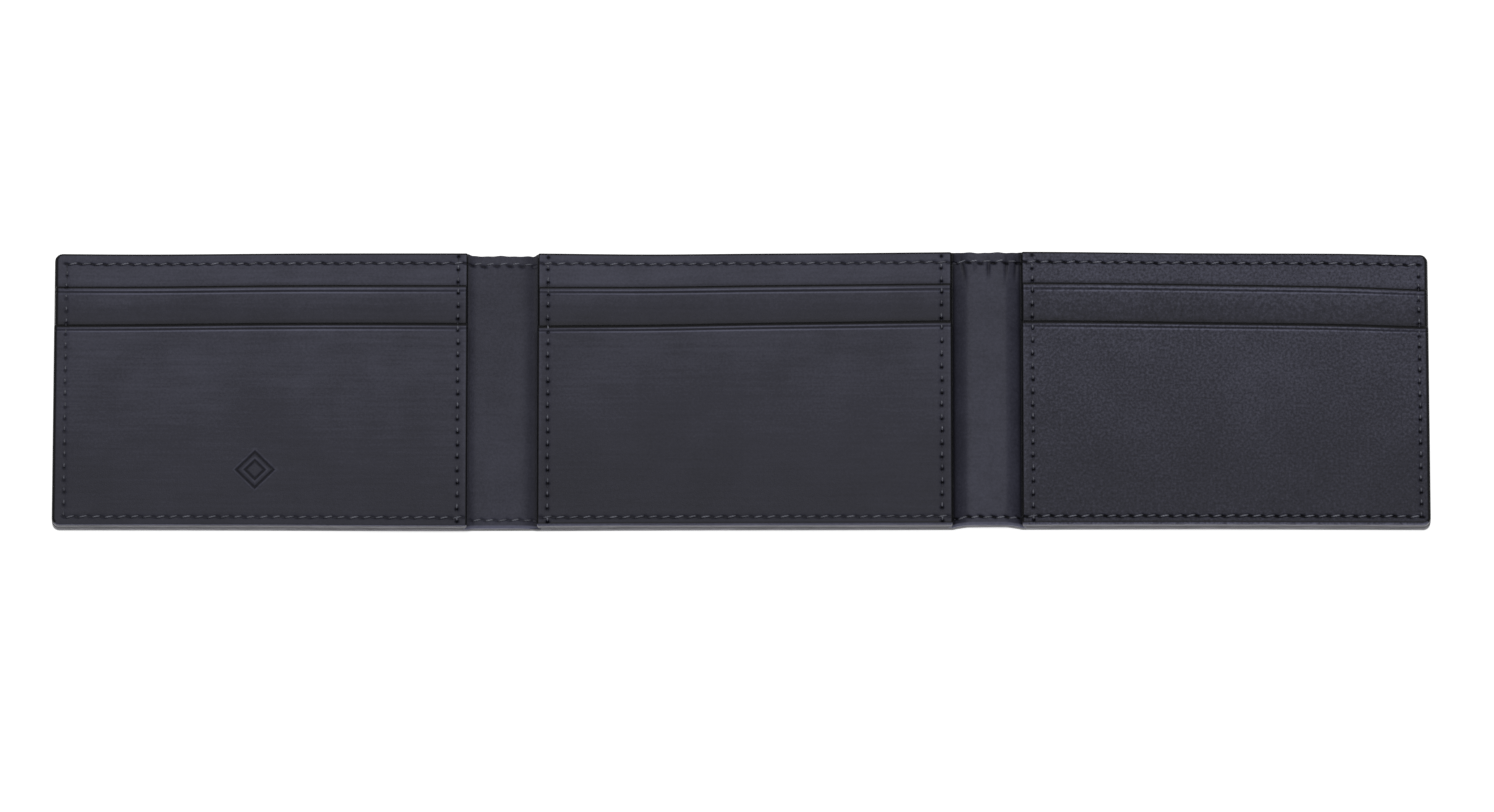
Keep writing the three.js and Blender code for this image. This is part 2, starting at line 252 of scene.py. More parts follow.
# Painted shade: how much darker a spine is beside the panels west and east of it, how far, and to
# where it fades.
SEAT_SHADE = {
    "left": ((0.01, 0.0, 3.0), (0.06, 0.0, 4.8)),
    "right": ((0.085, 2.2, 5.2), (0.03, 3.0, 5.8)),
}
FOOT_SHADOW_SHADE = {"left": 0.08, "right": 0.34}  # painted shade, the same right at the panels' edges, in the corners at the foot of their stacks
FOOT_SHADOW_HALF_WIDTH = 0.5
GATHER_SHADE = 0.42  # painted shade: how much darker a fold is for each millimetre of its depth

# How each slot's edge leaves a straight line, from its west end to its east end.
SLOT_TILT = {"left": (0.25, 0.35), "middle": (0.55, 1.0), "right": (-1.05, -0.9)}
SLOT_BOW = {"left": (0.1, 0.15), "middle": (0.1, 0.1), "right": (0.35, 0.2)}

# The slow unevenness of soft leather, as waves: size, run along X and Y, and phase.
LEATHER_WAVES = ((1.0, 0.071, 0.113, 1.0), (0.6, 0.131, -0.083, 1.7), (0.4, 0.047, 0.21, 2.3))
WAVE_PHASE = {"backing": 0.4, "upper": 1.3, "lower": 2.1, "lining": 0.9, "spine": 2.0}
CLOTH_RUN = 4  # how many times closer the waves of the lining are

ARCH_HEIGHT = {"left": 0.0, "right": 1.6}
ARCH_SLOPE = 4.0  # how far the arched spine takes to rise
# How deep a spine is pressed down beside the panels west and east of it, and how far that runs.
SEAT_DIP = {"left": ((0.35, 1.3), (0.75, 2.4)), "right": ((0.25, 0.7), (0.25, 0.7))}
# The folds under the arched spine's top row: place along it, length, depth and lean.
GATHERS = (
    (2.4, 4.6, 0.5, 0.22),
    (5.4, 2.2, 0.24, 0.1),
    (8.7, 3.6, 0.5, 0.02),
    (13.0, 4.4, 0.4, -0.04),
    (15.3, 4.2, 0.4, -0.06),
)
GATHER_HALF_WIDTH = 0.42
# Where along its length a fold is deepest, and how far it fades from there, as shares of it.
GATHER_PEAK = 0.3
GATHER_RUN = 0.55
# How far a spine's bottom and top edge stay behind the panels' edges.
SPINE_INSET = {"left": (0.1, 0.65), "right": (0.15, 0.1)}
ARCH_PULL = 0.31  # how far the arched spine's top edge draws in for each millimetre it lifts
ARCH_CROWN = 0.12  # how much of the arch is a crown rather than a plateau
# Where a spine's edges start to draw in, beside the panels, and the waves of its top edge.
PULL_START = (-0.2, 1.2)
TOP_WAVES = ((0.08, 0.9, 0), (0.05, 1.9, 1))

# Where the hand-cut long edges wander: the place along the row, half the length, and how far
# the top and the bottom edge move along Y there.
EDGE_WANDER = (
    (-142.0, 25.0, -0.25, 0.0),
    (-70.0, 40.0, 0.05, -0.25),
    (-22.0, 20.0, -0.25, 0.0),
    (66.0, 34.0, 0.42, 0.1),
    (115.0, 40.0, 0.0, 0.22),
    (164.0, 14.0, -0.4, 0.0),
)

# ---- Small maths ----


def smooth(value, start, end):
    """0 before start, 1 after end, and an even ease between them."""
    t = np.clip((value - start) / (end - start), 0, 1)
    return t * t * (3 - 2 * t)


def bell(value, half_width):
    return np.exp(-((value / half_width) ** 2))


def undulation(x, y, phase):
    """The slow unevenness of soft leather, about -1 to 1."""
    return sum(
        size * np.sin(run_x * x + run_y * y + share * phase)
        for size, run_x, run_y, share in LEATHER_WAVES
    ) / 2


# ---- Stitch rows ----


class Row:
    """A straight row of stitches along X or Y. Its needle holes wander a little, and tight is
    the share of each hole that the thread leaves open. The phases differ from row to row."""

    def __init__(self, axis, at, start, end, tight=1.0):
        self.axis = axis
        self.at = at
        self.start = start
        self.end = end
        self.count = max(1, round((end - start) / STITCH_PITCH))
        self.pitch = (end - start) / self.count
        self.tight = tight

    def holes(self):
        return self.start + self.pitch * np.arange(self.count + 1)

    def wander(self, index):
        """How far hole number index strays along and across the row."""
        phase = self.at + 0.37 * self.start
        return [size * np.sin(turn * index + share * phase) for size, turn, share in HOLE_WANDER]

    def strength(self, index):
        """How strongly a hole or stitch shows, from 0 to 1, which varies along a row."""
        phase = 1.3 * self.at + 0.7 * self.start
        return STRENGTH_MEAN + sum(
            size * np.sin(turn * index + share * phase) for size, turn, share in STRENGTH_WAVES
        )

    def hole_lines(self):
        """Grid lines close round each hole, and one between each two holes."""
        spread = HOLE_SPREAD if self.axis == "x" else HOLE_SPREAD[:-1]
        near = [hole + sign * step for hole in self.holes() for step in spread for sign in (-1, 1)]
        return [*self.holes(), *near, *(self.holes()[:-1] + self.pitch / 2)]

    def row_lines(self):
        """Grid lines along the row."""
        return [self.at] + [self.at + sign * step for step in ROW_SPREAD for sign in (-1, 1)]

    def relief(self, x, y):
        """How deep the row draws the leather in, and how far each point is in a needle hole, which
        the surfaces darken with painted shade.
        """
        along, across = (x, y - self.at) if self.axis == "x" else (y, x - self.at)
        inside = smooth(along, self.start - ROW_END_FADE, self.start) * (
            1 - smooth(along, self.end, self.end + ROW_END_FADE)
        )
        nearest = np.clip(np.round((along - self.start) / self.pitch), 0, self.count)
        stray_along, stray_across = self.wander(nearest)
        offset = along - self.start - nearest * self.pitch
        u, v = offset - stray_along, across - stray_across
        if self.axis == "x":
            cos, sin = math.cos(HOLE_SLANT), math.sin(HOLE_SLANT)
            u, v = (u * cos + v * sin) / SLANTED_HOLE[0], (v * cos - u * sin) / SLANTED_HOLE[1]
        else:
            u, v = u / HOLE_RADIUS, v / HOLE_RADIUS
        openness = self.tight * (1 - HOLE_VARIETY * self.strength(nearest))
        hole = openness * np.exp(-((u**2 + v**2) ** 1.5))
        tug = 1 - STITCH_TUG + STITCH_TUG * np.cos(2 * math.pi * offset / self.pitch)
        depth = CHANNEL_DEPTH * bell(across, CHANNEL_HALF_WIDTH) * inside * tug
        return depth + HOLE_DEPTH * hole, hole


def panel_rows(name):
    """The four rows of a panel. Beside a spine, a side row runs on to the long edges."""
    low, high = node_box(f"{name}_stitching")
    west, east = SPANS[name]
    west_shift, east_shift = SIDE_ROW_SHIFT[name]
    west_x = low[0] + THREAD_HALF_WIDTH + west_shift
    east_x = high[0] - THREAD_HALF_WIDTH + east_shift
    between_rows = (BOTTOM_ROW_Y, TOP_ROW_Y)
    to_edges = (EDGE_ROW_INSET - HALF_HEIGHT, HALF_HEIGHT - EDGE_ROW_INSET)
    x0, west_y = (west_x, between_rows) if name == "left" else (west + ROW_END_FADE, to_edges)
    x1, east_y = (east_x, between_rows) if name == "right" else (east - ROW_END_FADE, to_edges)
    places = {
        "top": ("x", TOP_ROW_Y, x0, x1),
        "bottom": ("x", BOTTOM_ROW_Y, x0, x1),
        "west": ("y", west_x, *west_y),
        "east": ("y", east_x, *east_y),
    }
    return {key: Row(*place, TIGHT_ROWS.get((name, key), 1.0)) for key, place in places.items()}


def spine_rows(side):
    """The two rows that cross a spine."""
    start, end = SPINE_SPANS[side]
    ends = (start + SPINE_ROW_INSET, end - SPINE_ROW_INSET)
    places = zip(("top", "bottom"), (TOP_ROW_Y, BOTTOM_ROW_Y), SPINE_TIGHT[side])
    return {key: Row("x", at, *ends, tight) for key, at, tight in places}


ROWS = {name: panel_rows(name) for name in PANEL_NAMES}
SPINE_ROWS = {side: spine_rows(side) for side in SPINE_SPANS}


def side_row_lines(name):
    """Grid lines along a panel's two side rows."""
    return [line for key in ("west", "east") for line in ROWS[name][key].row_lines()]


def side_hole_lines(name, low=-math.inf, high=math.inf):
    """Grid lines at the holes of a panel's two side rows, from low to high."""
    lines = [line for key in ("west", "east") for line in ROWS[name][key].hole_lines()]
    return [line for line in lines if low < line < high]


def relief_of(rows, x, y):
    """All rows together: the deepest pull and the nearest hole."""
    depth = np.zeros_like(x)
    hole = np.zeros_like(x)
    for row in rows.values():
        row_depth, row_hole = row.relief(x, y)
        depth = np.maximum(depth, row_depth)
        hole = np.maximum(hole, row_hole)
    return depth, hole


# ---- Grid lines ----


def grid_lines(start, end, step, fine=(), start_edge=0.0, end_edge=0.0):
    """Lines from start to end: about step apart, closer where fine lists lines, and closing
    up at each end as a rounded edge of that radius needs."""
    turns = 1 - np.cos(np.radians(EDGE_ANGLES))
    kept = [start, end]
    kept += [start + start_edge * t for t in turns if start_edge]
    kept += [end - end_edge * t for t in turns if end_edge]
    low, high = start + start_edge + EDGE_MARGIN, end - end_edge - EDGE_MARGIN
    kept += [line for line in fine if low < line < high]
    kept = sorted(set(np.round(kept, 4)))
    spaced = [kept[0]]
    for line in kept[1:]:
        gap = line - spaced[-1]
        parts = max(1, math.ceil(gap / step - 0.35))
        spaced += [spaced[-1] + gap * k / parts for k in range(1, parts)] if parts > 1 else []
        spaced.append(line)
    return np.array(spaced)


def corner_lines(start, end):
    """Grid lines that are close enough at both ends to draw a round corner."""
    steps = FREE_CORNER * np.arange(1, CORNER_STEPS + 1) / CORNER_STEPS
    return [*(start + steps), *(end - steps)]


def thin_lines(lines, closest):
    """Drops lines that crowd the one before them, and keeps both ends."""
    kept = [lines[0]]
    for line in lines[1:-1]:
        if line - kept[-1] >= closest and lines[-1] - line >= closest:
            kept.append(line)
    return np.array([*kept, lines[-1]])


# ---- Meshes ----


def mark_sharp_edges(mesh, flat):
    """Keeps a flat face from changing the shading of the smooth faces round it."""
    loop_edges = np.empty(len(mesh.loops), np.int32)
    mesh.loops.foreach_get("edge_index", loop_edges)
    sizes = np.empty(len(mesh.polygons), np.int32)
    mesh.polygons.foreach_get("loop_total", sizes)
    sharp = np.zeros(len(mesh.edges), bool)
    sharp[loop_edges[np.repeat(np.array(flat, bool), sizes)]] = True
    attribute = mesh.attributes.new("sharp_edge", "BOOLEAN", "EDGE")
    attribute.data.foreach_set("value", sharp)


def wandered(points):
    """The points moved as the wandering of the long edges takes them."""
    x, y, z = points.T
    share = (y / HALF_HEIGHT + 1) / 2
    shift = np.zeros_like(y)
    for place, half_length, top, bottom in EDGE_WANDER:
        shift += bell(x - place, half_length) * (share * top + (1 - share) * bottom)
    return np.column_stack([x, y + shift, z])


def make_object(name, points, faces, face_materials, flat, attributes, materials):
    """A mesh object from points in millimetres. Each point keeps its place at rest in the
    attribute rest, so that a material's pattern bends with the leather."""
    mesh = bpy.data.meshes.new(name)
    mesh.from_pydata((wandered(points) * MM).tolist(), [], faces)
    for material in materials:
        mesh.materials.append(material)
    mesh.polygons.foreach_set("material_index", face_materials)
    mesh.polygons.foreach_set("use_smooth", [not is_flat for is_flat in flat])
    mark_sharp_edges(mesh, flat)
    rest = mesh.attributes.new("rest", "FLOAT_VECTOR", "POINT")
    rest.data.foreach_set("vector", points.astype(np.float32).ravel())
    for key, values in attributes.items():
        attribute = mesh.attributes.new(key, "FLOAT", "POINT")
        attribute.data.foreach_set("value", np.asarray(values, np.float32))
    mesh.update()
    obj = bpy.data.objects.new(name, mesh)
    bpy.context.scene.collection.objects.link(obj)
    return obj


def edge_drop(distance, edge):
    """How far a rounded edge has fallen at a distance in from it."""
    width, depth = edge
    if width == 0:
        return np.zeros_like(distance)
    t = np.clip(distance / width, 0, 1)
    return depth * (1 - np.sqrt(np.maximum(0, 1 - (1 - t) ** 2)))


def edge_paint_share(distance, edge):
    """How much of the dark edge paint covers a rounded edge at a distance in from it."""
    width = edge[0]
    return 1 - smooth(distance, 0.6 * width, 0.95 * width) if width else np.zeros_like(distance)


def round_corners(x, y, box, radii):
    """Moves the points near each corner of a rectangle onto circles round its corner centre."""
    x0, x1, y0, y1 = box
    x, y = x.copy(), y.copy()
    for radius, sx, sy in zip(radii, (-1, 1, 1, -1), (-1, -1, 1, 1)):
        if radius == 0:
            continue
        centre_x = x0 + radius if sx < 0 else x1 - radius
        centre_y = y0 + radius if sy < 0 else y1 - radius
        p = (x - centre_x) * sx / radius
        q = (y - centre_y) * sy / radius
        near = (p > 0) & (q > 0)
        reach = np.maximum(p, q)
        length = np.hypot(p, q)
        length[length == 0] = 1
        x[near] = (centre_x + sx * radius * reach * p / length)[near]
        y[near] = (centre_y + sy * radius * reach * q / length)[near]
    return x, y


def loop_indices(columns, rows):
    """The grid's outer loop, anticlockwise from its south-west corner, and each side's name."""
    south = [(i, 0) for i in range(columns - 1)]
    east = [(columns - 1, j) for j in range(rows - 1)]
    north = [(i, rows - 1) for i in range(columns - 1, 0, -1)]
    west = [(0, j) for j in range(rows - 1, 0, -1)]
    names = ["south"] * len(south) + ["east"] * len(east)
    names += ["north"] * len(north) + ["west"] * len(west)
    return [j * columns + i for i, j in south + east + north + west], names


def make_slab(name, xs, ys, surface, rings, edges, corners, materials, facing=1, warp=None,
              front_highlight=0.0):
    """A closed slab of leather or cloth. Its fine face is a grid, and surface(x, y) gives the
    height and shade of its points. The other face is a few rings, each an inset and a
    height(x, y), closed by one flat face. edges gives the rounding of the west, east, south
    and north edge. facing is 1 for a fine face on top and -1 for one underneath. The last
    argument is the shade of a painted highlight on the south edge's rounding, which is dark
    edge paint without it."""
    columns, rows = len(xs), len(ys)
    x, y = (grid.ravel() for grid in np.meshgrid(xs, ys))
    gaps = (x - xs[0], xs[-1] - x, y - ys[0], ys[-1] - y)
    drop = np.max([edge_drop(gap, edge) for gap, edge in zip(gaps, edges)], axis=0)
    paints = [edge_paint_share(gap, edge) for gap, edge in zip(gaps, edges)]
    height, shade = surface(x, y)
    height = height - facing * drop
    box = (xs[0], xs[-1], ys[0], ys[-1])
    px, py = round_corners(x, y, box, corners)
    points = [np.column_stack([px, py, height])]
    # The south edge's rounding gets a painted highlight where one is given.
    shades = [shade * (1 - np.max(paints, axis=0)) + front_highlight * paints[2]]
    loop, sides = loop_indices(columns, rows)
    faces, face_materials, flat = [], [], []

    def add_face(face, material=0, is_flat=False):
        faces.append(face if facing > 0 else face[::-1])
        face_materials.append(material)
        flat.append(is_flat)

    for j in range(rows - 1):
        for i in range(columns - 1):
            k = j * columns + i
            add_face((k, k + 1, k + 1 + columns, k + columns))

    cut = dict(zip(("west", "east", "south", "north"), (edge == CUT for edge in edges)))
    base_x, base_y = px[loop], py[loop]
    upper = loop
    total = columns * rows
    for inset, ring_height in rings:
        west, east, south, north = (0 if edge == CUT else inset for edge in edges)
        ring_x = np.interp(base_x, (xs[0], xs[-1]), (xs[0] + west, xs[-1] - east))
        ring_y = np.interp(base_y, (ys[0], ys[-1]), (ys[0] + south, ys[-1] - north))
        points.append(np.column_stack([ring_x, ring_y, ring_height(ring_x, ring_y)]))
        lower = list(range(total, total + len(loop)))
        total += len(loop)
        shades.append(np.full(len(loop), PLAIN))
        for k, side in enumerate(sides):
            after = (k + 1) % len(loop)
            add_face((lower[k], lower[after], upper[after], upper[k]), 1, cut[side])
        upper = lower
    add_face(tuple(upper[::-1]), 0, True)

    points = np.vstack(points)
    if warp:
        points = warp(points)
    attributes = {"shade": np.concatenate(shades)}
    return make_object(name, points, faces, face_materials, flat, attributes, materials)


def edge_rings(level, facing=1, edge=HIDDEN_EDGE):
    """The first rings of a hidden side, at level(x, y), with a small rounded edge."""
    half = edge * (1 - math.cos(math.pi / 4))
    lifts = ((0.0, edge + WALL_END), (0.0, edge), (half, half), (edge, 0.0))
    return [(inset, lambda x, y, lift=lift: level(x, y) + facing * lift) for inset, lift in lifts]


def flat_level(height):
    """The level of a flat side."""
    return lambda x, y: np.full_like(x, height)


def put(piece, panel, part):
    """Puts a piece on its panel, in the place of its CAD node."""
    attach(piece, f"{panel}_panel")
    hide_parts(f"{panel}_{part}")


# ---- Materials ----


class Nodes:
    """A new material, and short ways to add and link its nodes."""

    def __init__(self, name):
        self.material = bpy.data.materials.new(name)
        self.material.use_nodes = True
        self.tree = self.material.node_tree
        self.tree.nodes.clear()
        self.shader = self.add("ShaderNodeBsdfPrincipled")
        output = self.add("ShaderNodeOutputMaterial")
        self.link(self.shader.outputs[0], output.inputs["Surface"])

    def add(self, kind, **settings):
        node = self.tree.nodes.new(kind)
        for key, value in settings.items():
            setattr(node, key, value)
        return node

    def link(self, output, target):
        self.tree.links.new(output, target)

    def attribute(self, name, output="Fac"):
        return self.add("ShaderNodeAttribute", attribute_name=name).outputs[output]

    def scaled(self, vector, scale):
        node = self.add("ShaderNodeVectorMath", operation="MULTIPLY")
        self.link(vector, node.inputs[0])
        node.inputs[1].default_value = scale
        return node.outputs[0]

    def noise(self, vector, scale, detail=3.0, roughness=0.5):
        node = self.add("ShaderNodeTexNoise")
        self.link(vector, node.inputs["Vector"])
        node.inputs["Scale"].default_value = scale
        node.inputs["Detail"].default_value = detail
        node.inputs["Roughness"].default_value = roughness
        return node.outputs["Fac"]

    def cells(self, vector, scale):
        node = self.add("ShaderNodeTexVoronoi", feature="DISTANCE_TO_EDGE")
        self.link(vector, node.inputs["Vector"])
        node.inputs["Scale"].default_value = scale
        return node.outputs["Distance"]

    def ranged(self, value, low, high, to_low, to_high, ease="LINEAR"):
        node = self.add("ShaderNodeMapRange", interpolation_type=ease)
        self.link(value, node.inputs["Value"])
        for key, number in (("From Min", low), ("From Max", high), ("To Min", to_low),
                            ("To Max", to_high)):
            node.inputs[key].default_value = number
        return node.outputs["Result"]

    def maths(self, operation, first, second):
        node = self.add("ShaderNodeMath", operation=operation)
        for value, target in zip((first, second), node.inputs):
            if isinstance(value, (int, float)):
                target.default_value = value
            else:
                self.link(value, target)
        return node.outputs[0]

    def colours(self, factor, first, second):
        node = self.add("ShaderNodeMix", data_type="RGBA")
        self.link(factor, node.inputs["Factor"])
        for value, target in ((first, node.inputs["A"]), (second, node.inputs["B"])):
            if isinstance(value, tuple):
                target.default_value = (*value, 1.0)
            else:
                self.link(value, target)
        return node.outputs["Result"]

    def ramp(self, factor, stops):
        node = self.add("ShaderNodeValToRGB")
        self.link(factor, node.inputs["Fac"])
        elements = node.color_ramp.elements
        while len(elements) < len(stops):
            elements.new(1.0)
        for element, (place, tint) in zip(elements, stops):
            element.position = place
            element.color = (*tint, 1.0)
        return node.outputs["Color"]

    def bump(self, height, strength, distance):
        node = self.add("ShaderNodeBump")
        self.link(height, node.inputs["Height"])
        node.inputs["Strength"].default_value = strength
        node.inputs["Distance"].default_value = distance
        return node.outputs["Normal"]

    def finish(self, sockets):
        """Links each of the shader's sockets to a node or sets it, and returns the material."""
        for name, value in sockets.items():
            if isinstance(value, bpy.types.NodeSocket):
                self.link(value, self.shader.inputs[name])
            else:
                self.shader.inputs[name].default_value = value
        return self.material


def colour(red, green, blue):
    """A colour given as it shows on a screen, 0 to 255, in Blender's linear numbers."""
    shares = (red / 255, green / 255, blue / 255)
    return tuple(s / 12.92 if s <= 0.04045 else ((s + 0.055) / 1.055) ** 2.4 for s in shares)


# The leather's colour at each shade.
LEATHER_SHADES = (
    (0.0, colour(9, 9, 12)),
    (0.25, colour(36, 36, 45)),
    (0.5, colour(65, 65, 80)),
    (1.0, colour(124, 125, 148)),
)


def make_leather(name, grain, speckle, streaks):
    """Smooth dyed leather: slow mottling, a fine pebbled grain, faint marks along the hide,
    pale painted highlights, dark painted edges, and needle holes dark with painted shade."""
    nodes = Nodes(name)
    rest = nodes.attribute("rest", "Vector")
    shade = nodes.attribute("shade")
    mottle = nodes.noise(rest, scale=0.07, detail=4.0, roughness=0.6)
    fine = nodes.noise(rest, scale=1.6, roughness=0.6)
    along = nodes.noise(nodes.scaled(rest, (0.05, 1.1, 1.0)), scale=1.0, roughness=0.6)
    pebbles = nodes.ranged(nodes.cells(rest, scale=1.9), 0.0, 0.32, 0.0, 1.0, "SMOOTHSTEP")
    pores = nodes.ranged(nodes.noise(rest, scale=3.4, detail=2.0), 0.56, 0.72, 0.0, 1.0)

    change = nodes.ranged(mottle, 0.3, 0.7, 0.94, 1.06, "SMOOTHSTEP")
    change = nodes.maths("ADD", change, nodes.ranged(fine, 0.3, 0.7, -speckle, speckle))
    change = nodes.maths("ADD", change, nodes.ranged(along, 0.35, 0.65, -streaks, streaks))
    tone = nodes.maths("MULTIPLY", shade, change)

    gloss = nodes.maths("ADD", nodes.ranged(shade, 0.1, 0.5, 0.36, 0.44),
                        nodes.ranged(pebbles, 0.0, 1.0, 0.05, 0.0))
    relief = nodes.maths("ADD", nodes.maths("MULTIPLY", pebbles, 0.5 * grain),
                         nodes.maths("MULTIPLY", fine, 0.6 * grain))
    relief = nodes.maths("SUBTRACT", relief, nodes.maths("MULTIPLY", pores, 0.35 * grain))
    relief = nodes.maths("ADD", relief, nodes.maths("MULTIPLY", along, 2.0 * streaks))
    return nodes.finish({
        "Base Color": nodes.ramp(tone, LEATHER_SHADES),
        "Roughness": gloss,
        "Specular IOR Level": 0.3,
        "Normal": nodes.bump(relief, strength=0.5, distance=0.00006),
    })


def make_edge(name, dark, pale):
    """The painted and burnished cut edge of the leather."""
    nodes = Nodes(name)
    stretched = nodes.scaled(nodes.attribute("rest", "Vector"), (0.25, 0.25, 2.0))
    lines = nodes.noise(stretched, scale=1.0, roughness=0.6)
    return nodes.finish({
        "Base Color": nodes.colours(nodes.ranged(lines, 0.3, 0.7, 0.0, 1.0), dark, pale),
        "Roughness": nodes.ranged(lines, 0.3, 0.7, 0.4, 0.28),
        "Specular IOR Level": 0.4,
        "Normal": nodes.bump(lines, strength=0.4, distance=0.00005),
    })


def make_thread():
    """Waxed thread, two strands twisted together, with a painted highlight where each stitch
    stands up.
    """
    nodes = Nodes("waxed_thread")
    rest = nodes.attribute("rest", "Vector")
    twist = nodes.add("ShaderNodeTexWave", bands_direction="DIAGONAL")
    nodes.link(rest, twist.inputs["Vector"])
    twist.inputs["Scale"].default_value = 0.9
    twist.inputs["Distortion"].default_value = 0.6
    fuzz = nodes.noise(rest, scale=5.0, detail=2.0)
    tone = nodes.maths("ADD", nodes.maths("MULTIPLY", twist.outputs["Fac"], 0.7),
                       nodes.maths("MULTIPLY", fuzz, 0.3))
    thread_base = nodes.colours(tone, colour(44, 44, 54), colour(66, 66, 78))
    glint = nodes.colours(tone, colour(124, 126, 140), colour(180, 182, 196))
    return nodes.finish({
        # The thread's own colour, with a painted highlight where each stitch stands up.
        "Base Color": nodes.colours(nodes.attribute("glint"), thread_base, glint),
        "Roughness": 0.5,
        "Normal": nodes.bump(twist.outputs["Fac"], strength=0.6, distance=0.00008),
    })


def make_fabric():
    """The plain woven lining of the pockets."""
    nodes = Nodes("lining_weave")
    rest = nodes.attribute("rest", "Vector")
    warp_threads = nodes.add("ShaderNodeTexWave", bands_direction="X")
    weft_threads = nodes.add("ShaderNodeTexWave", bands_direction="Y")
    for wave in (warp_threads, weft_threads):
        nodes.link(rest, wave.inputs["Vector"])
        wave.inputs["Scale"].default_value = 0.8
        wave.inputs["Distortion"].default_value = 0.3
    weave = nodes.maths("MULTIPLY", warp_threads.outputs["Fac"], weft_threads.outputs["Fac"])
    return nodes.finish({
        "Base Color": nodes.colours(weave, colour(30, 31, 37), colour(58, 60, 70)),
        "Roughness": 0.85,
        "Sheen Weight": 0.3,
        "Normal": nodes.bump(weave, strength=0.5, distance=0.00008),
    })


def make_board():
    """Bonded leather board: pressed brown fibres."""
    nodes = Nodes("bonded_board")
    place = nodes.add("ShaderNodeTexCoord").outputs["Object"]
    stretched = nodes.scaled(place, (900.0, 2600.0, 900.0))
    fibres = nodes.noise(stretched, scale=1.0, detail=4.0, roughness=0.65)
    share = nodes.ranged(fibres, 0.3, 0.7, 0.0, 1.0)
    return nodes.finish({
        "Base Color": nodes.colours(share, colour(92, 78, 62), colour(138, 120, 98)),
        "Roughness": 0.85,
        "Normal": nodes.bump(fibres, strength=0.4, distance=0.0001),
    })


# Edge paint: its own colour, made paler as a painted reflection of the white floor on the front
# edges.
edge_paint_with_reflection = make_edge("edge_paint_with_reflection", colour(49, 48, 56), colour(94, 92, 104))
# The spines' edges: the liner's made pale as a painted reflection of the floor, the cover's dark
# as painted shade along the bottom.
spine_edges = {
    "liner": make_edge("spine_liner_edge_painted_reflection", colour(96, 94, 103), colour(136, 134, 146)),
    "cover": make_edge("spine_cover_edge_painted_shade", colour(40, 40, 46), colour(72, 71, 80)),
}
panel_leather = {
    "left": make_leather("left_leather", grain=0.8, speckle=0.08, streaks=0.05),
    "middle": make_leather("middle_leather", grain=0.8, speckle=0.08, streaks=0.04),
    "right": make_leather("right_leather", grain=1.6, speckle=0.3, streaks=0.02),
}
skin_leather = make_leather("cover_leather", grain=0.9, speckle=0.08, streaks=0.02)
thread = make_thread()
fabric = make_fabric()
board = make_board()

# ---- Pocket layers ----


def side_edges(name):
    """A layer's rounding at its west and east side, and the radius of its corners there."""
    free, sewn = (SIDE_EDGE, FREE_CORNER), (SPINE_SIDE_EDGE, SPINE_CORNER)
    west, west_corner = free if name == "left" else sewn
    east, east_corner = free if name == "right" else sewn
    return west, east, west_corner, east_corner


def rim_lines(name):
    """Grid lines along the paler rims beside the spines."""
    west, east = SPANS[name]
    steps = SPINE_SIDE_EDGE[0] + RIM_HALF_WIDTH * np.arange(*RIM_LINES)
    return [*(west + steps), *(east - steps)]


def rim(name, x):
    """How much paler a panel's layers are just inside their edges beside a spine."""
    west, east = SPANS[name]
    inside = SPINE_SIDE_EDGE[0] + RIM_HALF_WIDTH
    share = np.zeros_like(x)
    if name != "left":
        share += bell(x - west - inside, RIM_HALF_WIDTH)
    if name != "right":
        share += bell(east - x - inside, RIM_HALF_WIDTH)
    return RIM_SHADE * share


def mouth_lines(slot_y):
    """Grid lines along the crease and beads below a pocket's mouth."""
    return list(slot_y - np.arange(*MOUTH_LINES))


def lip_lines(slot_y):
    """Grid lines where a layer's painted shadow darkens it behind the pocket's mouth on it."""
    return list(slot_y + np.arange(*LIP_LINES))


def slot_shift(name, index, x):
    """How far a pocket's open edge is tilted and bowed out of its straight line."""
    west, east = SPANS[name]
    u = (2 * x - west - east) / (east - west)
    bow = SLOT_BOW[name][index]
    return SLOT_TILT[name][index] / 2 * u + bow * (1 - u**2) - bow / 2


def lip_shadow(name, index, slot_y, x, y):
    """Painted shadow: how much darker a layer is just behind a pocket's mouth, where the pocket's
    edge shades it.
    """
    above = y - slot_y - slot_shift(name, index, x)
    return LIP_SHADE * (1 - smooth(above, 0, LIP_REACH))


def slot_warp(name, index, slot_y):
    """Tilts and bows a pocket's open edge, and fades out below it."""

    def warp(points):
        share = smooth(points[:, 1], slot_y - SLOT_REACH[index], slot_y)
        points[:, 1] += share * slot_shift(name, index, points[:, 0])
        return points

    return warp


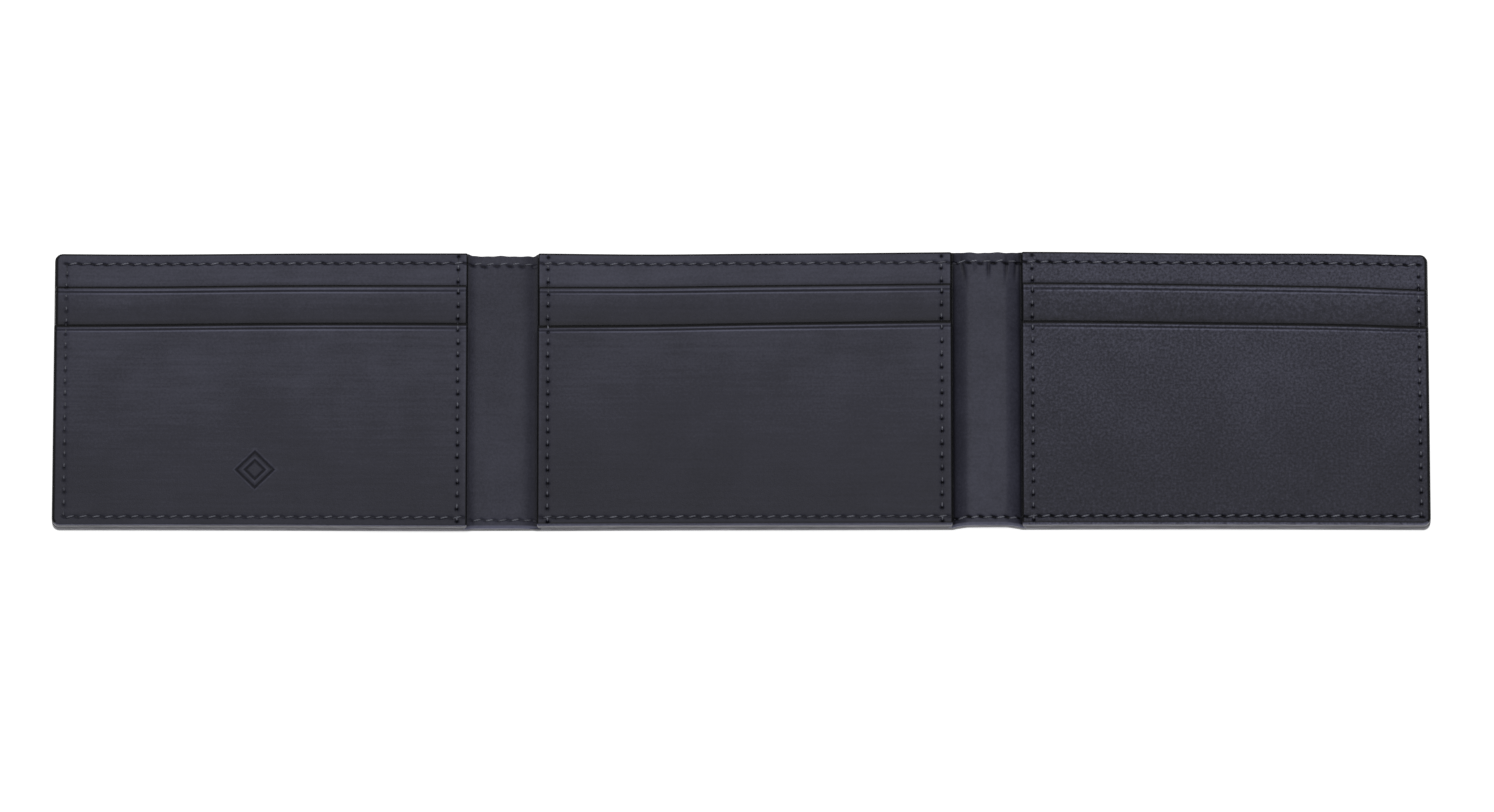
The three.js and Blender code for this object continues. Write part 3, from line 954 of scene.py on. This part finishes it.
def pocket_face(name, slot_y, end_y, top, phase, crown):
    """The face of a pocket: its hem, the tooled crease along it with painted shade in it and
    painted highlights on the beads beside it, the pull of the stitches, and painted shade that
    slowly darkens it from its mouth down to end_y."""
    west, east = SPANS[name]
    centre, half = (west + east) / 2, (east - west) / 2

    def surface(x, y):
        down = slot_y - y
        depth, hole = relief_of(ROWS[name], x, y)
        u = (x - centre) / half
        belly = crown * (1 - u**4) * smooth(y, BOTTOM_ROW_Y, BOTTOM_ROW_Y + CROWN_RAMP)
        between = smooth(np.abs(u), *SEWN_SHARES)
        height = top + belly + FACE_SAG * undulation(x, y, phase) * between
        height += HEM_RISE * (1 - smooth(down, HEM_LENGTH - HEM_SLOPE, HEM_LENGTH))
        crease = bell(down - CREASE_DROP, CREASE_HALF_WIDTH)
        beads = sum(bell(down - bead, CREASE_HALF_WIDTH) for bead in BEAD_DROPS)
        height += BEAD_RISE * beads - CREASE_DEPTH * crease
        # Painted shade: darker from the mouth down.
        shade = MOUTH_SHADE[name] - FADE * smooth(down, FADE_START, slot_y - end_y)
        strength = CREASE_END_SHARE + (1 - CREASE_END_SHARE) * (1 - u**4)
        # Painted highlight on the beads and painted shade in the crease.
        shade += (BEAD_SHADE * beads - CREASE_SHADE * crease) * strength
        shade += rim(name, x)
        # The needle holes are darkened with painted shade.
        return height - depth, shade * (1 - hole)

    return surface


MARK_CENTRE = (-116.1, -20.4)
MARK_HALF = 4.4  # from the mark's centre to its points
MARK_DEPTH = 0.22
MARK_LINE = 0.07
# Painted shade in the mark's pressed lines.
MARK_SHADE = 0.3
MARK_RINGS = (1.0, 0.52)
MARK_MARGIN = 0.6  # how far round the mark the grid is as fine as MARK_STEP
MARK_STEP = 0.16
BURR_REACH = 0.16  # from a pressed line out to the burr beside it, which gets a painted highlight
BURR_RISE = 0.06
# Painted highlight on the burrs.
BURR_SHADE = 0.13


def marked(surface):
    """Presses a generic mark into a pocket: two lozenges, one inside the other, with painted shade
    in the pressed lines and a painted highlight on the burrs.
    """

    def pressed(x, y):
        height, shade = surface(x, y)
        size = (np.abs(x - MARK_CENTRE[0]) + np.abs(y - MARK_CENTRE[1])) / MARK_HALF
        lines = sum(bell(size - ring, MARK_LINE) for ring in MARK_RINGS)
        burrs = sum(bell(size - ring - BURR_REACH, MARK_LINE) for ring in MARK_RINGS)
        height += BURR_RISE * burrs - MARK_DEPTH * lines
        # Painted highlight on the burrs and painted shade in the pressed lines.
        return height, shade + BURR_SHADE * burrs - MARK_SHADE * lines

    return pressed


def stack_rings(ceiling, end_y, band):
    """The hidden side of a pocket: down on the backing in a band along its sewn edges, and up
    at ceiling inside and above end_y, where another layer is under it."""

    def level(x, y):
        return np.where(y < end_y, BACKING_TOP + EDGE_GROOVE, ceiling)

    return [*edge_rings(level), (band, level), (band + BAND_SLOPE, flat_level(ceiling))]


def make_backing(name):
    west, east = SPANS[name]
    rows = ROWS[name]
    edge_w, edge_e, corner_w, corner_e = side_edges(name)
    step_x, step_y = GRID_STEPS["backing"]
    x0, x1 = west + BACKING_INSET, east - BACKING_INSET
    fine_x = rows["top"].hole_lines() + side_row_lines(name) + rim_lines(name)
    xs = grid_lines(x0, x1, step_x, fine_x, edge_w[0], edge_e[0])
    half_y = HALF_HEIGHT - BACKING_INSET
    fine_y = rows["top"].row_lines() + side_hole_lines(name, low=UPPER_SLOT_Y - 2)
    fine_y += corner_lines(-half_y, half_y) + lip_lines(UPPER_SLOT_Y)
    ys = grid_lines(-half_y, half_y, step_y, fine_y, LINER_EDGE[0], BACKING_EDGE[0])

    def surface(x, y):
        depth, hole = relief_of(rows, x, y)
        sag = BACKING_SAG * undulation(x, y, WAVE_PHASE["backing"] + west)
        # Painted shadow behind the upper pocket's mouth, and painted shade in the needle holes.
        shade = BACKING_SHADE - lip_shadow(name, 0, UPPER_SLOT_Y, x, y) + rim(name, x)
        return BACKING_TOP + sag - depth, shade * (1 - hole)

    piece = make_slab(
        f"{name}_pocket_backing_leather", thin_lines(xs, FINEST), thin_lines(ys, FINEST), surface,
        edge_rings(flat_level(BACKING_BOTTOM)), (edge_w, edge_e, LINER_EDGE, BACKING_EDGE),
        (corner_w, corner_e, corner_e, corner_w), [panel_leather[name], edge_paint_with_reflection],
    )
    put(piece, name, "pocket_backing")


def make_upper_pocket(name):
    west, east = SPANS[name]
    edge_w, edge_e = side_edges(name)[:2]
    step_x, step_y = GRID_STEPS["upper"]
    fine_x = side_row_lines(name) + rim_lines(name)
    xs = grid_lines(west + UPPER_INSET, east - UPPER_INSET, step_x, fine_x, edge_w[0], edge_e[0])
    fine_y = side_hole_lines(name, LOWER_SLOT_Y - 1, UPPER_SLOT_Y - 0.5)
    fine_y += mouth_lines(UPPER_SLOT_Y) + lip_lines(LOWER_SLOT_Y)
    ys = grid_lines(UPPER_END_Y, UPPER_SLOT_Y, step_y, fine_y, LINER_EDGE[0], UPPER_SLOT_EDGE[0])
    phase = WAVE_PHASE["upper"] + west
    face = pocket_face(name, UPPER_SLOT_Y, LOWER_SLOT_Y, UPPER_TOP, phase, 0.0)

    def surface(x, y):
        height, shade = face(x, y)
        # Painted shadow behind the lower pocket's mouth.
        return height, shade - lip_shadow(name, 1, LOWER_SLOT_Y, x, y)

    piece = make_slab(
        f"{name}_upper_pocket_leather", thin_lines(xs, FINEST), thin_lines(ys, FINEST), surface,
        stack_rings(UPPER_BOTTOM, LOWER_SLOT_Y + UPPER_BAND_TOP, SEWN_BAND["upper"]),
        (edge_w, edge_e, LINER_EDGE, UPPER_SLOT_EDGE), (0, 0, SPINE_CORNER, SPINE_CORNER),
        [panel_leather[name], edge_paint_with_reflection], warp=slot_warp(name, 0, UPPER_SLOT_Y),
    )
    put(piece, name, "upper_pocket")


def make_lower_pocket(name):
    west, east = SPANS[name]
    rows = ROWS[name]
    edge_w, edge_e, corner_w, corner_e = side_edges(name)
    step_x, step_y = GRID_STEPS["lower"]
    fine_x = side_row_lines(name) + rows["bottom"].hole_lines() + rim_lines(name)
    fine_y = side_hole_lines(name, high=LOWER_SLOT_Y) + rows["bottom"].row_lines()
    fine_y += mouth_lines(LOWER_SLOT_Y) + [UPPER_END_Y - step for step in UNDER_STEPS[:2]]
    front_y = -HALF_HEIGHT + LOWER_INSET
    front_edge = FRONT_EDGE[name]
    fine_y += list(front_y + front_edge[0] + FRONT_LINE_HALF_WIDTH * np.arange(*FRONT_LINES))
    fine_y += corner_lines(front_y, LOWER_SLOT_Y)
    phase = WAVE_PHASE["lower"] + west
    face = pocket_face(name, LOWER_SLOT_Y, BOTTOM_ROW_Y, LOWER_TOP, phase, LOWER_CROWN)

    def lined(x, y):
        height, shade = face(x, y)
        # Painted shade along a line above the front edge.
        line = bell(y - front_y - front_edge[0], FRONT_LINE_HALF_WIDTH)
        return height, shade * (1 - FRONT_LINE_SHADE[name] * line)

    surface = lined
    if name == "left":
        surface = marked(lined)
        steps = np.arange(-MARK_HALF - MARK_MARGIN, MARK_HALF + MARK_MARGIN + 0.01, MARK_STEP)
        fine_x += list(MARK_CENTRE[0] + steps)
        fine_y += list(MARK_CENTRE[1] + steps)
    xs = grid_lines(west + LOWER_INSET, east - LOWER_INSET, step_x, fine_x, edge_w[0], edge_e[0])
    ys = grid_lines(front_y, LOWER_SLOT_Y, step_y, fine_y, front_edge[0], LOWER_SLOT_EDGE[0])
    piece = make_slab(
        f"{name}_lower_pocket_leather", thin_lines(xs, LOWER_FINEST),
        thin_lines(ys, LOWER_FINEST), surface,
        stack_rings(LOWER_BOTTOM, UPPER_END_Y - UNDER_STEPS[2], SEWN_BAND["lower"]),
        (edge_w, edge_e, front_edge, LOWER_SLOT_EDGE),
        (corner_w, corner_e, SPINE_CORNER, SPINE_CORNER), [panel_leather[name], edge_paint_with_reflection],
        warp=slot_warp(name, 1, LOWER_SLOT_Y), front_highlight=FRONT_HIGHLIGHT_SHADE,
    )
    put(piece, name, "lower_pocket")


def make_lining(name):
    """The fabric tail of the upper pocket, which lies inside the stack."""
    low, high = node_box(f"{name}_upper_pocket_lining")
    xs, ys = (np.linspace(low[k], high[k], count) for k, count in enumerate(LINING_LINES))

    def surface(x, y):
        sag = CLOTH_SAG * undulation(CLOTH_RUN * x, CLOTH_RUN * y, WAVE_PHASE["lining"])
        return high[2] - CLOTH_SAG + sag, np.full_like(x, PLAIN)

    piece = make_slab(
        f"{name}_upper_pocket_lining_cloth", xs, ys, surface,
        edge_rings(flat_level(LINING_BOTTOM), edge=CLOTH_EDGE), [(CLOTH_EDGE, CLOTH_EDGE)] * 4,
        (0, 0, 0, 0), [fabric, fabric],
    )
    put(piece, name, "upper_pocket_lining")


# ---- Cover and liner ----


def cover_lines(name, x0, x1, west, east):
    rows = ROWS[name]
    fine_x = rows["top"].hole_lines() + side_row_lines(name) + corner_lines(x0, x1)
    fine_y = rows["top"].row_lines() + rows["bottom"].row_lines() + side_hole_lines(name)
    fine_y += corner_lines(-HALF_HEIGHT, HALF_HEIGHT)
    step_x, step_y = GRID_STEPS["cover"]
    xs = grid_lines(x0, x1, step_x, fine_x, west, east)
    ys = grid_lines(-HALF_HEIGHT, HALF_HEIGHT, step_y, fine_y, COVER_EDGE[0], COVER_EDGE[0])
    return thin_lines(xs, COVER_FINEST), thin_lines(ys, COVER_FINEST)


def skin_ends(name):
    """Where a panel's cover and liner start and end: at the bending pieces beside it."""
    x0 = {"left": SPANS["left"][0], "middle": CUTS["left"][-1], "right": CUTS["right"][-1]}
    x1 = {"left": CUTS["left"][0], "middle": CUTS["right"][0], "right": SPANS["right"][1]}
    return x0[name], x1[name]


def skin_edges(name, edge):
    """The rounding of a skin's free sides, none where it is cut, and its corner radii."""
    west, corner_w = (edge, FREE_CORNER) if name == "left" else (CUT, 0)
    east, corner_e = (edge, FREE_CORNER) if name == "right" else (CUT, 0)
    return (west, east, edge, edge), (corner_w, corner_e, corner_e, corner_w)


def underside(rows):
    """The surface of a cover, which the stitches pull up."""

    def surface(x, y):
        depth, hole = relief_of(rows, x, y)
        # Painted shade darkens the needle holes.
        return depth * UNDER_PULL, PLAIN * (1 - hole)

    return surface


def make_panel_cover(name):
    x0, x1 = skin_ends(name)
    edges, corners = skin_edges(name, COVER_EDGE)
    xs, ys = cover_lines(name, x0, x1, edges[0][0], edges[1][0])
    seat = flat_level(LINER_BOTTOM - EDGE_GROOVE)
    well = ((RIM_BAND, seat), (RIM_BAND + BAND_SLOPE, flat_level(COVER_TOP)))
    piece = make_slab(
        f"{name}_cover_leather", xs, ys, underside(ROWS[name]), [*edge_rings(seat, -1), *well],
        edges, corners, [skin_leather, edge_paint_with_reflection], facing=-1,
    )
    put(piece, name, "cover")


def make_panel_liner(name):
    x0, x1 = skin_ends(name)
    edges, corners = skin_edges(name, LINER_EDGE)
    half_y = HALF_HEIGHT - LINER_INSET
    step_x, step_y = GRID_STEPS["liner"]
    fine_x, fine_y = corner_lines(x0, x1), corner_lines(-half_y, half_y)
    xs = grid_lines(x0, x1, step_x, fine_x, edges[0][0], edges[1][0])
    ys = grid_lines(-half_y, half_y, step_y, fine_y, LINER_EDGE[0], LINER_EDGE[0])
    piece = make_slab(
        f"{name}_liner_leather", xs, ys,
        lambda x, y: (np.full_like(x, LINER_TOP), np.full_like(x, PLAIN)),
        edge_rings(flat_level(LINER_BOTTOM)), edges, corners, [skin_leather, edge_paint_with_reflection],
    )
    put(piece, name, "liner")


def arch(side, x):
    """How far a spine stands up off the table at rest: a slope, a plateau and a slope."""
    start, end = SPINE_SPANS[side]
    rise = smooth(x, start, start + ARCH_SLOPE) * (1 - smooth(x, end - ARCH_SLOPE, end))
    crown = 1 - ((x - (start + end) / 2) / (end - start) * 2) ** 2
    return ARCH_HEIGHT[side] * np.clip((1 - ARCH_CROWN) * rise + ARCH_CROWN * crown, 0, 1)


def spine_warp(side):
    """Lifts a spine into its arch and pulls its long edges in."""
    start, end = SPINE_SPANS[side]
    bottom, top = SPINE_INSET[side]

    def warp(points):
        x = points[:, 0]
        pull = smooth(x - start, *PULL_START) * smooth(end - x, *PULL_START)
        wave = sum(size * np.sin(run * x + phase) for size, run, phase in TOP_WAVES)
        top_pull = pull * (top + wave) + ARCH_PULL * arch(side, x)
        share = np.clip((points[:, 1] / HALF_HEIGHT + 1) / 2, 0, 1)
        points[:, 1] += (1 - share) * pull * bottom - share**4 * top_pull
        points[:, 2] += arch(side, x)
        return points

    return warp


def seat_dip(side, x):
    """How deep a spine is pressed down beside the panels."""
    start, end = SPINE_SPANS[side]
    (west_dip, west_run), (east_dip, east_run) = SEAT_DIP[side]
    return west_dip * bell(x - start, west_run) + east_dip * bell(x - end, east_run)


def gathers(side, x, y):
    """How deep the folds under the arched spine's top row are."""
    start = SPINE_SPANS[side][0]
    depth = np.zeros_like(x)
    if side == "right":
        down = TOP_ROW_Y - y
        for place, length, size, lean in GATHERS:
            along = bell(down - GATHER_PEAK * length, GATHER_RUN * length)
            depth += size * along * bell(x - start - place - lean * down, GATHER_HALF_WIDTH)
    return depth


def seat_shadow(side, x):
    """Painted shade: how much darker a spine is beside the panels, whose stacks shade it."""
    start, end = SPINE_SPANS[side]
    (west, west_run, west_fade), (east, east_run, east_fade) = SEAT_SHADE[side]
    west_share = 1 - smooth(x - start, west_run, west_fade)
    east_share = 1 - smooth(end - x, east_run, east_fade)
    foot_shadows = bell(x - start, FOOT_SHADOW_HALF_WIDTH) + bell(x - end, FOOT_SHADOW_HALF_WIDTH)
    return west * west_share + east * east_share + FOOT_SHADOW_SHADE[side] * foot_shadows


def make_spine_piece(side, index, layer):
    """One bending piece of a spine's cover or liner, from one cut to the next."""
    x0, x1 = CUTS[side][index], CUTS[side][index + 1]
    rows = SPINE_ROWS[side]
    is_liner = layer == "liner"
    edge = LINER_EDGE if is_liner else COVER_EDGE
    front_edge = SPINE_FRONT_EDGE if is_liner else COVER_EDGE
    half_y = HALF_HEIGHT - (LINER_INSET if is_liner else 0.0)
    xs = np.linspace(x0, x1, round((x1 - x0) / GRID_STEPS["spine"][0]) + 1)
    fine_y = rows["top"].row_lines() + rows["bottom"].row_lines()
    ys = grid_lines(-half_y, half_y, GRID_STEPS["spine"][1], fine_y, front_edge[0], edge[0])

    def liner_surface(x, y):
        depth, hole = relief_of(rows, x, y)
        folds = gathers(side, x, y)
        height = LINER_TOP - seat_dip(side, x) - folds - depth
        height += SPINE_SAG * undulation(x, y, WAVE_PHASE["spine"])
        # Painted shade beside the panels, at their feet, in the folds and in the needle holes.
        shade = SPINE_SHADE[side] - seat_shadow(side, x) - GATHER_SHADE * folds
        return height, shade * (1 - hole)

    facing = 1 if is_liner else -1
    hidden_level = flat_level(LINER_BOTTOM if is_liner else LINER_BOTTOM - EDGE_GROOVE)
    piece = make_slab(
        f"{side}_spine_{layer}_leather_{index + 1}", xs, thin_lines(ys, FINEST),
        liner_surface if is_liner else underside(rows), edge_rings(hidden_level, facing),
        (CUT, CUT, front_edge, edge), (0, 0, 0, 0), [skin_leather, spine_edges[layer]], facing,
        warp=spine_warp(side), front_highlight=SPINE_FRONT_HIGHLIGHT_SHADE if is_liner else 0.0,
    )
    bend_piece(piece)
    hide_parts(*slat_nodes(side, index, (layer,)))


def slat_nodes(side, index, ends):
    return [f"{side}_spine_{slat}_{end}" for slat in SPINE_SLATS[side][index] for end in ends]


def bend_piece(piece):
    """Bakes a spine piece's place into its mesh."""
    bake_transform(piece)


# ---- Stitching ----

THREAD_SIDES = 8
THREAD_STEPS = 11
THREAD_END = 0.55  # how thick a thread's ends are, as a share of its middle
UNDER_LEVEL = 0.31  # where the lower stitches start, so that they clear the table
STITCH_INSET = {"x": 0.42, "y": 0.15}  # from a hole's centre to the end of the thread in it
STITCH_LIFT = 0.4
STITCH_SINK = {"x": 0.3, "y": 0.26}  # how deep the thread's ends are
BIGHT = (0.2, 0.14)  # where the thread of a side row shows, and half its length there
GLINT_MIDDLE = (0.55, 0.15, 0.5)  # the middle of the painted highlight on a lengthwise stitch, and its fading
TIGHT_GLINT = 0.3  # how much fainter the painted highlight on the thread of a tight row is
STEP_DOWN = (0.1, 0.8)  # where the thread's level steps down above a pocket's edge


def stitch_points(row, index, level, facing):
    """The centre line of one stitch, which dips into the holes at both its ends, and how strong
    its painted highlight is at each point. A lengthwise row's stitches lie on the leather and
    climb across it.
    The others sink into it, all but a bight where they leave the first hole."""
    share = np.linspace(0, 1, THREAD_STEPS)
    lengthwise = row.axis == "x"
    inset = STITCH_INSET[row.axis]
    (start_along, start_across), (end_along, end_across) = row.wander(index), row.wander(index + 1)
    start = row.start + row.pitch * index + inset + start_along
    end = row.start + row.pitch * (index + 1) - inset + end_along
    along = start + share * (end - start)
    across = row.at + start_across + share * (end_across - start_across)
    if lengthwise:
        across += THREAD_RISE * (share - 0.5)
        rise = 1 - np.abs(2 * share - 1) ** 3
        glint = 1 - smooth(np.abs(share - GLINT_MIDDLE[0]), *GLINT_MIDDLE[1:])
    else:
        rise = glint = bell(share - BIGHT[0], BIGHT[1])
    lift = STITCH_LIFT * rise - STITCH_SINK[row.axis]
    variety = 1 - THREAD_VARIETY * row.strength(index + 0.5)
    # The painted highlight is fainter in tight rows.
    glint = glint * variety * (1 - TIGHT_GLINT + TIGHT_GLINT * row.tight)
    x, y = (along, across) if lengthwise else (across, along)
    return np.column_stack([x, y, level(x, y) + facing * lift]), glint


def tube(points, radius):
    """A round thread along a line of points: its points and faces, with closed ends."""
    ahead = np.gradient(points, axis=0)
    ahead /= np.linalg.norm(ahead, axis=1)[:, None]
    side = np.cross(ahead, (0.0, 0.0, 1.0))
    side /= np.linalg.norm(side, axis=1)[:, None]
    up = np.cross(side, ahead)
    angles = np.linspace(0, 2 * math.pi, THREAD_SIDES, endpoint=False)
    ends = np.ones(len(points))
    ends[0] = ends[-1] = THREAD_END
    rings = [
        point + radius * size * (math.cos(a) * s + math.sin(a) * u)
        for point, size, s, u in zip(points, ends, side, up)
        for a in angles
    ]
    faces = []
    for k in range(len(points) - 1):
        for n in range(THREAD_SIDES):
            after = (n + 1) % THREAD_SIDES
            a, b = k * THREAD_SIDES, (k + 1) * THREAD_SIDES
            faces.append((a + n, b + n, b + after, a + after))
    last = (len(points) - 1) * THREAD_SIDES
    faces.append(tuple(range(THREAD_SIDES)))
    faces.append(tuple(range(last + THREAD_SIDES - 1, last - 1, -1)))
    return np.array(rings), faces


def make_stitches(name, stitches):
    """One object of many stitches."""
    points, faces, glints = [], [], []
    base = 0
    for centre_line, glint in stitches:
        ring_points, ring_faces = tube(centre_line, THREAD_RADIUS)
        points.append(ring_points)
        glints.append(np.repeat(glint, THREAD_SIDES))
        faces += [tuple(base + k for k in face) for face in ring_faces]
        base += len(ring_points)
    attributes = {"glint": np.concatenate(glints)}
    count = len(faces)
    return make_object(name, np.vstack(points), faces, [0] * count, [False] * count, attributes,
                       [thread])


def stack_level(x, y):
    """The pocket stack's height under a thread, which steps down behind each pocket's edge."""
    level = LOWER_TOP - (LOWER_TOP - UPPER_TOP) * smooth(y - LOWER_SLOT_Y, *STEP_DOWN)
    return level - (UPPER_TOP - BACKING_TOP) * smooth(y - UPPER_SLOT_Y, *STEP_DOWN)


def under_level(x, y):
    return np.full_like(x, UNDER_LEVEL)


def make_panel_stitching(name):
    stitches = []
    for row in ROWS[name].values():
        for index in range(row.count):
            stitches.append(stitch_points(row, index, stack_level, 1))
            stitches.append(stitch_points(row, index, under_level, -1))
    put(make_stitches(f"{name}_stitches", stitches), name, "stitching")


def make_spine_stitching(side):
    """The stitches across a spine, one object for each bending piece."""
    cuts = CUTS[side]
    groups = [[] for _ in cuts[1:]]

    def over(x, y):
        return LINER_TOP + arch(side, x) - seat_dip(side, x) - gathers(side, x, y)

    def under(x, y):
        return UNDER_LEVEL + arch(side, x)

    for row in SPINE_ROWS[side].values():
        for index in range(row.count):
            middle = row.start + row.pitch * (index + 0.5)
            group = sum(middle > cut for cut in cuts[1:-1])
            groups[group].append(stitch_points(row, index, over, 1))
            groups[group].append(stitch_points(row, index, under, -1))
    for index, stitches in enumerate(groups):
        piece = make_stitches(f"{side}_spine_stitches_{index + 1}", stitches)
        bend_piece(piece)
        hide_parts(*slat_nodes(side, index, ("top_thread", "bottom_thread")))


# ---- Building it all ----

for panel in PANEL_NAMES:
    make_panel_cover(panel)
    make_panel_liner(panel)
    make_backing(panel)
    make_lining(panel)
    make_upper_pocket(panel)
    make_lower_pocket(panel)
    make_panel_stitching(panel)
    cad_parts[f"{panel}_interlining"].data.materials.clear()
    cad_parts[f"{panel}_interlining"].data.materials.append(board)

for spine in SPINE_SPANS:
    for piece_index in range(2):
        make_spine_piece(spine, piece_index, "cover")
        make_spine_piece(spine, piece_index, "liner")
    make_spine_stitching(spine)

# ---- Floor, light and camera, in metres ----

FLOOR_HALF = 20.0
FLOOR_LEVEL = -0.00002  # a hair below the object, so that their faces don't meet
FLOOR_GLOW = 0.85
SKY_STRENGTH = 0.25
SOFTBOX_PLACE = (0.0, 0.62, 2.0)
SOFTBOX_SIZE = 1.3
SOFTBOX_POWER = 8.0
CAMERA_ELEVATION = math.radians(73.7)
CAMERA_DISTANCE = 3.8
CAMERA_TARGET = (0.00137, -0.0039, 0.0024)
FRAME_WIDTH = 0.3572  # how wide the picture is at the wallet
SENSOR_WIDTH = 36.0  # millimetres


def make_floor():
    mesh = bpy.data.meshes.new("floor")
    turns = ((-1, -1), (1, -1), (1, 1), (-1, 1))
    corners = [(x * FLOOR_HALF, y * FLOOR_HALF, FLOOR_LEVEL) for x, y in turns]
    mesh.from_pydata(corners, [], [(0, 1, 2, 3)])
    floor = bpy.data.objects.new("floor", mesh)
    bpy.context.scene.collection.objects.link(floor)
    mesh.materials.append(Nodes("floor_white").finish({
        "Base Color": (0.9, 0.9, 0.9, 1),
        "Roughness": 0.8,
        "Emission Color": (1, 1, 1, 1),
        "Emission Strength": FLOOR_GLOW,
    }))


def aim(obj, place, along):
    """Puts a light or camera at a place, looking along a direction."""
    obj.location = place
    obj.rotation_mode = "QUATERNION"
    obj.rotation_quaternion = along.to_track_quat("-Z", "Y")
    bpy.context.scene.collection.objects.link(obj)


def make_light():
    world = bpy.data.worlds.new("studio")
    world.use_nodes = True
    background = world.node_tree.nodes["Background"]
    background.inputs["Color"].default_value = (1, 1, 1, 1)
    background.inputs["Strength"].default_value = SKY_STRENGTH
    bpy.context.scene.world = world
    light = bpy.data.lights.new("overhead_softbox", "AREA")
    light.shape = "SQUARE"
    light.size = SOFTBOX_SIZE
    light.energy = SOFTBOX_POWER
    aim(bpy.data.objects.new("overhead_softbox", light), SOFTBOX_PLACE, -Vector(SOFTBOX_PLACE))


def make_camera():
    data = bpy.data.cameras.new("camera")
    data.sensor_width = SENSOR_WIDTH
    data.lens = SENSOR_WIDTH * CAMERA_DISTANCE / FRAME_WIDTH
    data.clip_start, data.clip_end = 0.1, 100
    camera = bpy.data.objects.new("camera", data)
    back = Vector((0, -math.cos(CAMERA_ELEVATION), math.sin(CAMERA_ELEVATION)))
    aim(camera, Vector(CAMERA_TARGET) + back * CAMERA_DISTANCE, -back)
    bpy.context.scene.camera = camera


make_floor()
make_light()
make_camera()
bpy.context.scene.view_settings.view_transform = "Standard"
